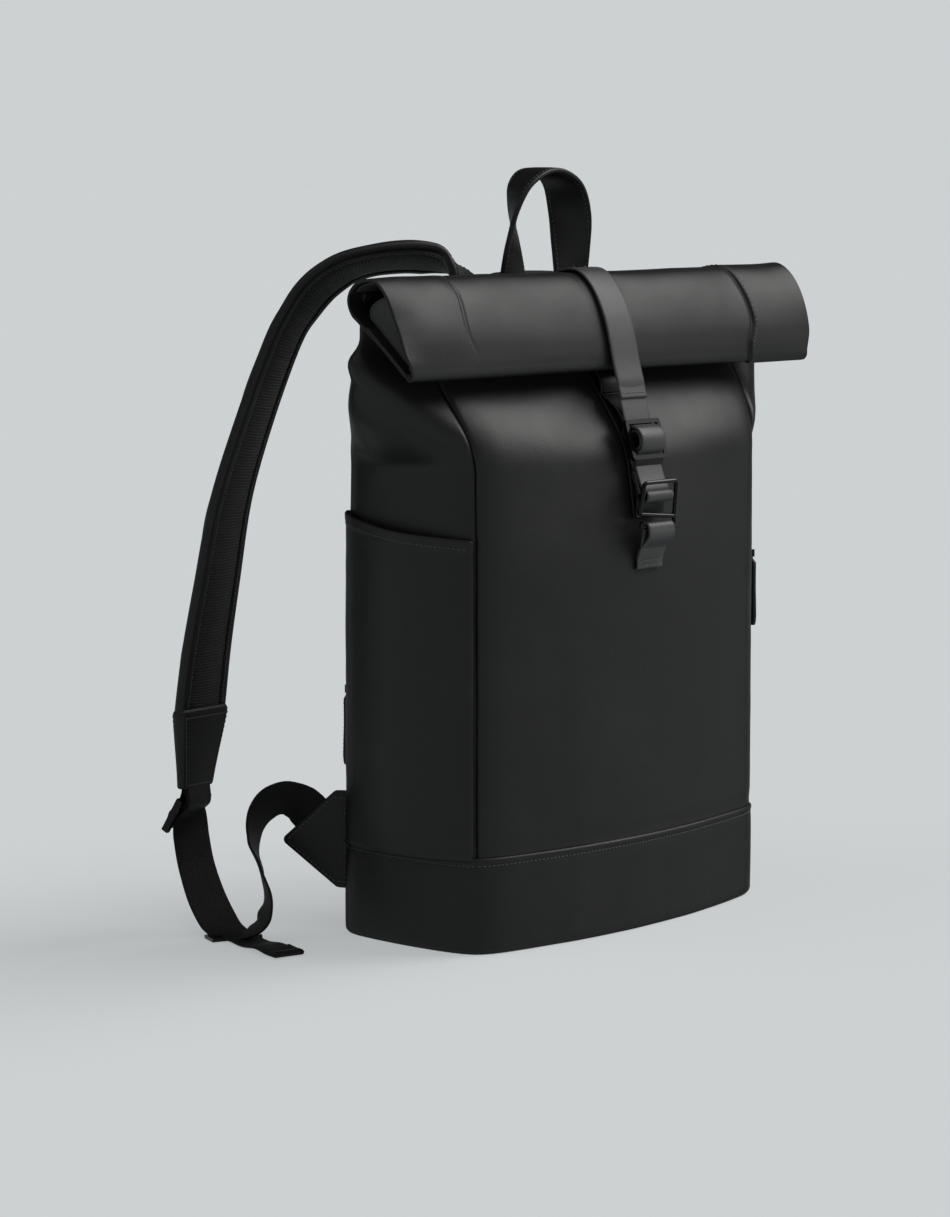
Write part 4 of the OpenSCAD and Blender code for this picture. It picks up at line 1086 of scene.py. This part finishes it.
# stitched box under each root of the straps
BOX_SEAM = ((-1, 365), (1, 365), (1, 382), (-1, 382), (-1, 365), (1, 382))
for cx, half in ((-62, 19), (62, 19), (0, 30)):
    box = even(np.array([(cx + k * half, 0, z) for k, z in BOX_SEAM], float), 1.5)
    box[:, 1] = [np.interp(x, yoke_x, yp[int(np.argmin(np.abs(yz_ - z))), :, 1]) + 1.6 for x, _, z in box]
    stitch("bag", box, [0, 1, 0])

# ---------------------------------------------------------------- shoulder straps
left_pad = [[-62, 25.3, 392], [-64, 25, 414], [-69.5, 23, 437], [-73.5, 27.5, 449.5], [-80, 35, 456], [-90, 43, 459],
            [-104, 51, 459.5], [-120, 61, 457.5], [-135, 72, 452], [-148, 83, 441], [-158, 92, 425], [-167, 101, 402],
            [-179, 116, 350], [-189, 129, 296], [-194, 138, 240], [-197, 146, 192], [-199, 151, 150]]
right_pad = [[62, 25, 392], [62, 24, 412], [62, 31, 431], [63, 48, 440], [66, 70, 442], [70, 94, 440],
             [75, 118, 430], [82, 140, 410], [90, 158, 378], [98, 174, 334], [107, 184, 284], [116, 190, 234],
             [125.5, 190, 190], [133.8, 186.5, 146], [138, 182, 112]]
PAD_W = 58.0


def pad_lines(route, turns, tip):
    """Even path of one pad, its width direction, and its width at each point."""
    p = spline(route, 8)
    s = np.linspace(0, 1, len(p))
    b = np.diff(turns)
    a = np.radians(turns[0] + b[0] * ease((s - 0.06) / 0.2) + b[1] * ease((s - 0.4) / 0.22)
                   + b[2] * ease((s - 0.72) / 0.28))
    w = PAD_W * (0.7 + 0.3 * ease(s / 0.13))
    f = np.radians(tip) * ease((s - 0.17) / 0.13) * (1 - ease((s - 0.5) / 0.2))
    info = np.stack([np.cos(a) * np.cos(f), np.sin(a) * np.cos(f), -np.sin(f), w], 1)
    path, info = even(p, 3.2, info)
    return path, unit(info[:, :3]), info[:, 3]


def puff(ob, pinned, pressure=4.0, cap=4.0, frames=20):
    """Swells a closed pad with Blender's cloth under air pressure, with the pinned points held."""
    me = ob.data
    rest = np.empty(len(me.vertices) * 3)
    me.vertices.foreach_get("co", rest)
    rest = rest.reshape(-1, 3)
    group = ob.vertex_groups.new(name="pin")
    group.add([int(i) for i in np.nonzero(pinned)[0]], 1.0, "REPLACE")
    mod = ob.modifiers.new("Cloth", "CLOTH")
    st = mod.settings
    st.quality = 6
    st.mass = 0.2
    st.tension_stiffness = st.compression_stiffness = 12
    st.shear_stiffness = 6
    st.bending_stiffness = 0.4
    st.use_pressure = True
    st.uniform_pressure_force = pressure
    st.vertex_group_mass = "pin"
    st.effector_weights.gravity = 0
    mod.collision_settings.use_self_collision = False
    mod.point_cache.frame_start, mod.point_cache.frame_end = 1, frames
    scene = bpy.context.scene
    for f in range(1, frames + 1):
        scene.frame_set(f)
    dg = bpy.context.evaluated_depsgraph_get()
    got = ob.evaluated_get(dg).to_mesh()
    co = np.empty(len(got.vertices) * 3)
    got.vertices.foreach_get("co", co)
    co = co.reshape(-1, 3)
    move = co - rest
    far = np.linalg.norm(move, axis=1, keepdims=True)
    move *= np.minimum(1, cap * MM / np.maximum(far, 1e-9))
    ob.evaluated_get(dg).to_mesh_clear()
    ob.modifiers.remove(mod)
    ob.vertex_groups.remove(group)
    scene.frame_set(1)
    me.vertices.foreach_set("co", (rest + move).ravel())
    me.update()
    return ob


def binding_prof(w):
    """Leather of the pad: a shallow channel that covers the outer face and is turned over both edges."""
    ang = np.linspace(-math.pi / 2, math.pi / 2, 9)
    x = np.linspace(-(w / 2 - 3.4), w / 2 - 3.4, 15)
    k = 1 - (x / (w / 2)) ** 2
    outer = np.stack([x, -4.3 - 1.2 * k], 1)
    right = np.stack([w / 2 - 3.4 + 3.6 * np.cos(ang), -0.6 + 3.8 * np.sin(ang)], 1)
    lip_r = np.array([[w / 2 - 6.5, 3.25], [w / 2 - 9.0, 3.2], [w / 2 - 9.4, 2.5], [w / 2 - 8.8, 1.9]])
    inner_r = np.array([[w / 2 - 4.6, 1.5], [w / 2 - 2.6, -0.4], [w / 2 - 4.8, -2.4]])
    xi = np.linspace(w / 2 - 8, -(w / 2 - 8), 9)
    inner = np.stack([xi, -3.0 - 0.8 * (1 - (xi / (w / 2)) ** 2)], 1)
    mirror = np.array([-1.0, 1.0])
    return np.concatenate([outer, right[1:], lip_r, inner_r, inner, (inner_r * mirror)[::-1], (lip_r * mirror)[::-1],
                           (right * mirror)[::-1][:-1]])


def cushion_prof(w):
    """Closed section of the mesh cushion, flat below and domed above, in even steps."""
    x = np.linspace(-w / 2, w / 2, 19)
    k = np.clip(1 - (np.abs(x) / (w / 2)) ** 4, 0, 1)
    top = np.stack([x, 1.3 + 2.9 * k], 1)
    low = np.stack([x, np.full(19, 0.2)], 1)
    return np.concatenate([low, top[::-1]])


for side, route, turns, tip in (("left", left_pad, (12, 46, 22, 13), 18),
                                ("right", right_pad, (-12, -14, -22, -24), 0)):
    body = "strap_" + side
    path, acr, w = pad_lines(route, turns, tip)
    prof = np.stack([binding_prof(x) for x in w])
    s_along = arc_len(path)
    prof[:, :15, 1] -= (0.35 * np.sin(s_along / 17.0 + 1) + 0.25 * np.sin(s_along / 7.3))[:, None]
    ob = sweep("pad_leather_" + side, path, acr, prof, TRIM)
    place(ob, body, "trim_leather", "pad_" + side)
    prof = np.stack([cushion_prof(x - 15.0) for x in w])
    ob = sweep("pad_mesh_" + side, path, acr, prof, MESH)
    idx = np.arange(len(path) * 38).reshape(len(path), 38)
    pin = np.zeros(len(path) * 38, bool)
    pin[idx[:, :19].ravel()] = True
    pin[idx[:, [19, 20, 36, 37]].ravel()] = True
    pin[idx[[0, 1, -2, -1]].ravel()] = True
    puff(ob, pin, pressure=5.0, cap=2.4)
    place(ob, body, "air_mesh", "mesh_" + side)
    _, side_way, out = sweep_frames(path, acr)
    for s in (-1, 1):
        stitch(body, path + side_way * (s * (w / 2 - 7.6))[:, None] + out * 3.3, out)
        stitch(body, path + side_way * (s * (w / 2 - 6.2))[:, None] - out * 4.75, -out)


def frame_of(turn_deg):
    a = math.radians(turn_deg)
    return np.array([math.cos(a), math.sin(a), 0])


def patch(side, start, end, turn, body):
    """Leather wrapped round the pad's end, narrowing to the webbing, with stitched edges."""
    a, b = np.array(start, float), np.array(end, float)
    f = np.array([-0.06, -0.02, 0.0, 0.05, 0.2, 0.4, 0.6, 0.8, 0.92, 0.97, 1.0, 1.015])
    line = a + (b - a) * f[:, None]
    done = np.clip(f, 0, 1)
    w = PAD_W + 3 + (41 - PAD_W - 3) * (0.35 * ease(done) + 0.65 * done)
    lo, hi = 2.6 * done - 5.4, 5.2 - 2.6 * done
    ends = np.array([0.90, 0.97, 1, 1, 1, 1, 1, 1, 1, 1, 0.985, 0.93])
    prof = np.stack([flat_prof(x * e, p * e, q * e, n=15, seg=4, crown=0.8, crown_lo=0.8)
                     for x, p, q, e in zip(w, lo, hi, ends)])
    ob = sweep("patch_" + side, line, frame_of(turn), prof, TRIM)
    place(ob, body, "trim_leather", "patch_" + side)
    _, ac, nn = sweep_frames(line, np.broadcast_to(frame_of(turn), line.shape))
    for sgn, off in ((1, hi), (-1, lo)):
        for s in (-1, 1):
            row = line + ac * (s * (w / 2 - 4.2))[:, None] + nn * (off + sgn * 0.3)[:, None]
            stitch(body, even(row[2:-1], 1), nn[2] * sgn)
        for k in (3, 9):
            u = np.linspace(-1, 1, 20) * (w[k] / 2 - 4.2)
            dome = off[k] + sgn * (0.3 + 0.55 * (1 - (2 * u / w[k]) ** 2))
            stitch(body, line[k] + ac[k] * u[:, None] + nn[k] * dome[:, None], nn[k] * sgn)


patch("left", (-199, 151, 150), (-201.4, 154.4, 98), 13, "strap_left")
patch("right", (138, 182, 112), (143.9, 175.7, 64), -24, "strap_right")


def ribbon_web(name, points, turns, body, nodes, w=30, t=1.7, n=8, wave=0.0, over=None):
    """Webbing along a route. turns is a table of (part of the way, width direction).

    over is the other body that it passes over to, and the line along which it does; only whether it is given is read,
    and then the webbing is left in place, on no body.
    """
    p = spline(points, n)
    s = np.linspace(0, 1, len(p))
    a = unit(np.stack([np.interp(s, [k for k, _ in turns], [d[j] for _, d in turns]) for j in range(3)], 1))
    path, a = even(p, 1.6, a)
    k = arc_len(path)
    prof = np.broadcast_to(flat_prof(w, -t / 2, t / 2, n=11, seg=4), (len(path), 30, 2)).copy()
    prof[..., 1] += (wave * np.sin(k / 11.0))[:, None] * (prof[..., 0] / w * 2)
    ob = sweep(name, path, a, prof, WEB)
    if over is None:
        place(ob, body, "webbing", *nodes)
        return
    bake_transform(ob)
    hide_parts(*nodes)


LOCK_TOP = {}
LEFT_LOCK, RIGHT_LOCK = np.array([-202, 155, 88.0]), np.array([145, 174.5, 54.0])
for side, lock, turn, top, body in (("left", LEFT_LOCK, 13, (-201.5, 154.4, 101), "strap_left"),
                                    ("right", RIGHT_LOCK, -24, (143.6, 175.9, 67), "strap_right")):
    f = frame_of(turn)
    back = np.array([-f[1], f[0], 0])
    up = unit(np.array(top) - lock)
    straight = ((0, f), (1, f))
    # places as (up, back) from the lock's bar: down behind it, round it, and up in front
    round_bar = ((6, 1.6), (2.2, 2.7), (-0.6, 2.7), (-2.7, 0.6), (-2.2, -1.8), (0.5, -2.75), (3.2, -2.4), (7, -1.0))
    wrap = [lock + up * u + back * b for u, b in round_bar]
    wrap = [np.array(top) + back * 0.9, *wrap, np.array(top) - back * 0.9]
    ribbon_web("short_web_" + side + "_wrap", wrap, straight, body, ["short_web_" + side], w=28, t=1.6, n=6)
    tilt = math.radians(30)

    def lock_at(points, lock=lock, f=f, back=back):
        """Points given behind (y) and above (z) the lock's bar, in its own tilted frame."""
        return np.array([lock + back * (y * math.cos(tilt) - z * math.sin(tilt))
                         + np.array([0, 0, y * math.sin(tilt) + z * math.cos(tilt)]) for y, z in points])

    LOCK_TOP[side] = lock_at([(4.2, -17.0), (4.7, -12.5), (3.4, -8.6), (0.2, -7.9), (-1.3, -11.0)])
    over_bar = ((3.4, -3.9), (0, -4.35), (-4, -3.6), (-8.4, 1.2), (-11, 2.4), (-12.6, 2.9))
    flap = [np.array(top) - back * 2.0, *(lock + up * u + back * b for u, b in over_bar)]
    ribbon_web("short_web_" + side + "_lap", flap, straight, body, [], w=28.6, t=1.5, n=6)

left_down = [*LOCK_TOP["left"], LEFT_LOCK + [0.2, 4.2, -18], [-202.4, 157.4, 60], [-204, 151, 42],
             [-208, 137, 22], [-214, 119, 8], [-217.5, 108.5, 4.4], [-219.3, 103.5, 2.6]]
right_down = [*LOCK_TOP["right"], RIGHT_LOCK + [-0.6, 1.6, -18], [143.5, 172, 27], [146, 166, 19],
              [151, 157, 13], [157, 146, 11.5], [159.3, 141.5, 11.0]]
into_tab = [[158.6, 92.2, 85.0], [156.1, 87.2, 80], [154.5, 84.3, 76.3], [152.9, 81.4, 72.5]]
left_back = [[-218.2, 97.5, 3.0], [-216, 92, 5], [-210, 83, 12], [-205, 82, 27], [-199, 94, 45], [-192, 108, 60],
             [-184.5, 112.5, 76], [-175.5, 109, 87], [-167.5, 102.5, 90.5], [-161.8, 97.2, 88.6],
             *([-x, y, z] for x, y, z in into_tab)]
right_back = [[163.8, 132.5, 11.5], [166, 128, 14], [169, 114, 19], [173, 108, 31], [177, 113, 46], [179.5, 118, 62],
              [177.5, 116.5, 77], [171.5, 109, 87.5], [165.6, 102.5, 90], [161.4, 97.0, 88.4], *into_tab]
for side, route, turn, low_end, lock, wave in (("left", left_down, 13, (0.9, -0.45, 0), LEFT_LOCK, 0.4),
                                               ("right", right_down, -24, (0.9, 0.4, 0), RIGHT_LOCK, 0.3)):
    ribbon_web(f"adjuster_{side}_web", route, ((0, frame_of(turn)), (1, low_end)), "strap_" + side,
               ["adjuster_" + side], wave=wave, over=("lock_" + side, lock - [0, 0, 24], lock - [0, 0, 12]))
# width direction of the returning webs: edge-on low down, then turning over into the tab's own plane
RETURN_TURNS = ((0, (0.86, 0.5, 0)), (0.18, (0.5, 0.85, 0)), (0.32, (0.68, 0.73, -0.05)), (0.42, (0.85, 0.38, -0.3)),
                (0.52, (0.84, 0.13, -0.5)), (0.6, (0.68, 0.1, -0.73)), (0.68, (0.34, 0.24, -0.91)),
                (0.76, (-0.1, 0.4, -0.91)), (0.83, (-0.29, 0.53, -0.8)), (0.9, (-0.36, 0.65, -0.66)),
                (1, (-0.36, 0.65, -0.66)))
ribbon_web("return_left_web", left_back, RETURN_TURNS, "strap_left", ["return_web_left"], wave=0.3,
           over=("bag", (-178, 110, 84), (-158, 90, 83)))
ribbon_web("return_right_web", right_back, [(k, (-x, y, z)) for k, (x, y, z) in RETURN_TURNS], "strap_right",
           ["return_web_right"], wave=0.3, over=("bag", (176, 115, 82), (158, 90, 83)))

for side, glide, turn in (("left", (-219, 100.5, 0.8), -14), ("right", (162, 137, 8.4), 20)):
    to = local_frame(turn, glide)
    body = "strap_" + side
    kink = 1.6 if side == "left" else 0.6
    low = 0.95
    end = yz3([(-4.0, low + 2.6), (-9, low + 1.4), (-16, low + kink * 0.5), (-30, low), (-46, low + kink),
               (-60, low + 0.2), (-72, low)])
    end = even(spline(end, 6), 1.6)
    ob = sweep(f"web_end_{side}_tail", to(end), frame_of(turn), flat_prof(23, -0.9, 0.9, n=11), WEB)
    place(ob, body, "webbing", "web_end_" + side)
    fold = even(yz3([(-54.5, low + 1.85 + kink * 0.35), (-62, low + 1.8), (-71, low + 1.75), (-72.6, low + 0.9),
                     (-72.0, low + 0.1)]), 1.2)
    ob = sweep(f"web_end_{side}_fold", to(fold), frame_of(turn), flat_prof(23, -0.8, 0.8, n=11), WEB)
    place(ob, body, "webbing")
    for y, rise in ((-57.5, 3.05), (-61.0, 2.75), (-69, 2.75)):
        cross_row(body, 9.5, y, low + rise, [0, 0, 1], to, pitch=2.6, length=2.0)


def lower_tab(side, s):
    """Sewn leather triangle at a lower back corner, in two layers with rounded edges."""
    root = np.array([s * 143.5, 64.4, 0])
    out = unit(np.array([s * 21, 38.0, 0]))
    nor = np.array([-out[1], out[0], 0])

    def at(outline, off):
        return root + out * outline[:, :1] + np.array([0, 0, 1.0]) * outline[:, 1:] + nor * off

    shape = rounded([(-1, 29), (8, 29.5), (45.4, 59.5), (45.6, 63.0), (9, 96.8), (-1, 97)], 1.6, 4, closed=True)
    c0 = shape.mean(0)
    levels = [(-2.0, 0.955), (-1.7, 0.985), (-0.9, 1.0), (0.9, 1.0), (1.7, 0.985), (2.0, 0.955)]
    g = np.array([at(c0 + (shape - c0) * k, h) for h, k in levels])
    m = g.shape[1]
    faces = quads(len(g), m, 0, True).tolist()
    v = g.reshape(-1, 3).tolist()
    # fill both faces with shrinking rings, so that they can swell a little
    for sgn, first in ((-1, 0), (1, len(g) - 1)):
        prev = list(range(first * m, first * m + m))
        for k, rise in ((0.8, 0.35), (0.55, 0.5), (0.3, 0.55), (0.06, 0.55)):
            cur = list(range(len(v), len(v) + m))
            v += at(c0 + (shape - c0) * k, sgn * (2.0 + rise)).tolist()
            for j in range(m):
                q = [prev[j], prev[(j + 1) % m], cur[(j + 1) % m], cur[j]]
                faces.append(q if sgn > 0 else q[::-1])
            prev = cur
        faces.append(prev if sgn > 0 else prev[::-1])
    ob = make("lower_tab_" + side + "_leather", v, faces, TRIM)
    place(ob, "bag", "trim_leather", "lower_tab_" + side)
    line = c0 + (shape - c0) * 0.86
    line = np.concatenate([line, line[:1]])
    for sgn in (-1, 1):
        stitch("bag", even(at(line, sgn * 2.2), 1), nor * sgn)


lower_tab("left", -1)
lower_tab("right", 1)

flush_stitches(THREAD, "trim_leather")

# ---------------------------------------------------------------- CAD parts that stay
# each with its material and the width of its edge rounding
KEPT = {"strap_slider": (METAL, 0.9), "closure_stud": (METAL, 0.5), "ladder_lock_left": (METAL, 0.8),
        "ladder_lock_right": (METAL, 0.8), "triglide_left": (METAL, 0.7), "triglide_right": (METAL, 0.7),
        "side_zip_slider": (METAL, 0.35), "back_zip_slider": (METAL, 0.35), "back_foam": (FOAM, 0),
        "base_board": (LINING, 0)}
for name, (mat, width) in KEPT.items():
    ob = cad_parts[name]
    ob.data.materials.clear()
    ob.data.materials.append(mat)
    if width:
        mod = ob.modifiers.new("soft edges", "BEVEL")
        mod.width = width * MM
        mod.segments = 3
        mod.limit_method = "ANGLE"
        mod.angle_limit = math.radians(35)
        mod.harden_normals = False

# ---------------------------------------------------------------- floor, light, camera
PAPER = (0.607, 0.636, 0.644)
FLOOR_TONE, FLOOR_GLOW = 0.36, 0.608
FLOOR_HALF = 60000
# azimuth, elevation, outer and inner half angle (degrees), radiance, tint
SOFTBOXES = ((-26, 41, 31, 10, 7.6, (1.0, 0.985, 0.97)),
             (-120, 62, 30, 10, 1.2, (1.0, 0.99, 0.98)),
             (150, 50, 30, 12, 0.9, (1.0, 1.0, 1.0)))


def stage_material():
    """Paper that also glows a little, so that it meets the horizon in the same tone."""
    n = Nodes("paper_floor")
    grain = n.noise(6, 3)
    tone = shade((0.600, 0.628, 0.648), FLOOR_TONE)
    color = n.ramp(grain, [(0.3, shade(tone, 0.998)), (0.7, shade(tone, 1.002))])
    n.value("Specular IOR Level", 0.0)
    n.value("Emission Color", (*PAPER, 1))
    n.value("Emission Strength", FLOOR_GLOW)
    return n.finish(color, n.range(grain, 0.98, 1.0), n.bump(n.noise(400, 2), 0.01, 0.0001))


corners = [(x * FLOOR_HALF, y * FLOOR_HALF, 0) for x, y in ((-1, -1), (1, -1), (1, 1), (-1, 1))]
make("floor", corners, [(0, 1, 2, 3)], stage_material())

scene = bpy.context.scene
world = scene.world or bpy.data.worlds.new("World")
scene.world = world
world.use_nodes = True


def studio(world):
    """A pale room: even at the horizon, dim just above it, with wide soft lamps overhead."""
    t = Tree(world.node_tree)
    bg = t.tree.nodes["Background"]
    direction = t.coord.outputs["Generated"]

    def sine(deg):
        return math.sin(math.radians(deg))

    split = t.new("SeparateXYZ")
    t.link(direction, split.inputs[0])
    dim = t.range(split.outputs["Z"], 1.0, 0.16, sine(5), sine(17), "SMOOTHERSTEP")
    room = t.new("Mix")
    room.data_type = "RGBA"
    room.blend_type = "MULTIPLY"
    room.inputs["Factor"].default_value = 1.0
    room.inputs["A"].default_value = (*PAPER, 1)
    t.link(dim, room.inputs["B"])
    total = room.outputs["Result"]
    for azim, elev, wide, core, power, tint in SOFTBOXES:
        dot = t.new("VectorMath")
        dot.operation = "DOT_PRODUCT"
        dot.inputs[1].default_value = (sine(90 - azim) * sine(90 - elev), sine(azim) * sine(90 - elev), sine(elev))
        t.link(direction, dot.inputs[0])
        add = t.new("Mix")
        add.data_type = "RGBA"
        add.blend_type = "ADD"
        add.clamp_factor = False
        add.inputs["B"].default_value = (*tint, 1)
        amount = t.range(dot.outputs["Value"], 0.0, power, sine(90 - wide), sine(90 - core), "SMOOTHERSTEP")
        t.link(amount, add.inputs["Factor"])
        t.link(total, add.inputs["A"])
        total = add.outputs["Result"]
    t.link(total, bg.inputs["Color"])
    bg.inputs["Strength"].default_value = 1.0


studio(world)

scene.view_settings.view_transform = "Standard"
scene.view_settings.look = "None"
# metres, degrees below level, degrees about Z
CAMERA_AT, CAMERA_DOWN, CAMERA_TURN = (-1.98105, -1.67643, 0.52054), 6.72, -48.52
cam = bpy.data.cameras.new("camera")
cam.sensor_width = 36
cam.lens = 110.59
cam.clip_end = 300
cam_ob = bpy.data.objects.new("camera", cam)
scene.collection.objects.link(cam_ob)
cam_ob.location = CAMERA_AT
cam_ob.rotation_euler = (math.radians(90 - CAMERA_DOWN), 0, math.radians(CAMERA_TURN))
scene.camera = cam_ob

bpy.context.view_layer.update()
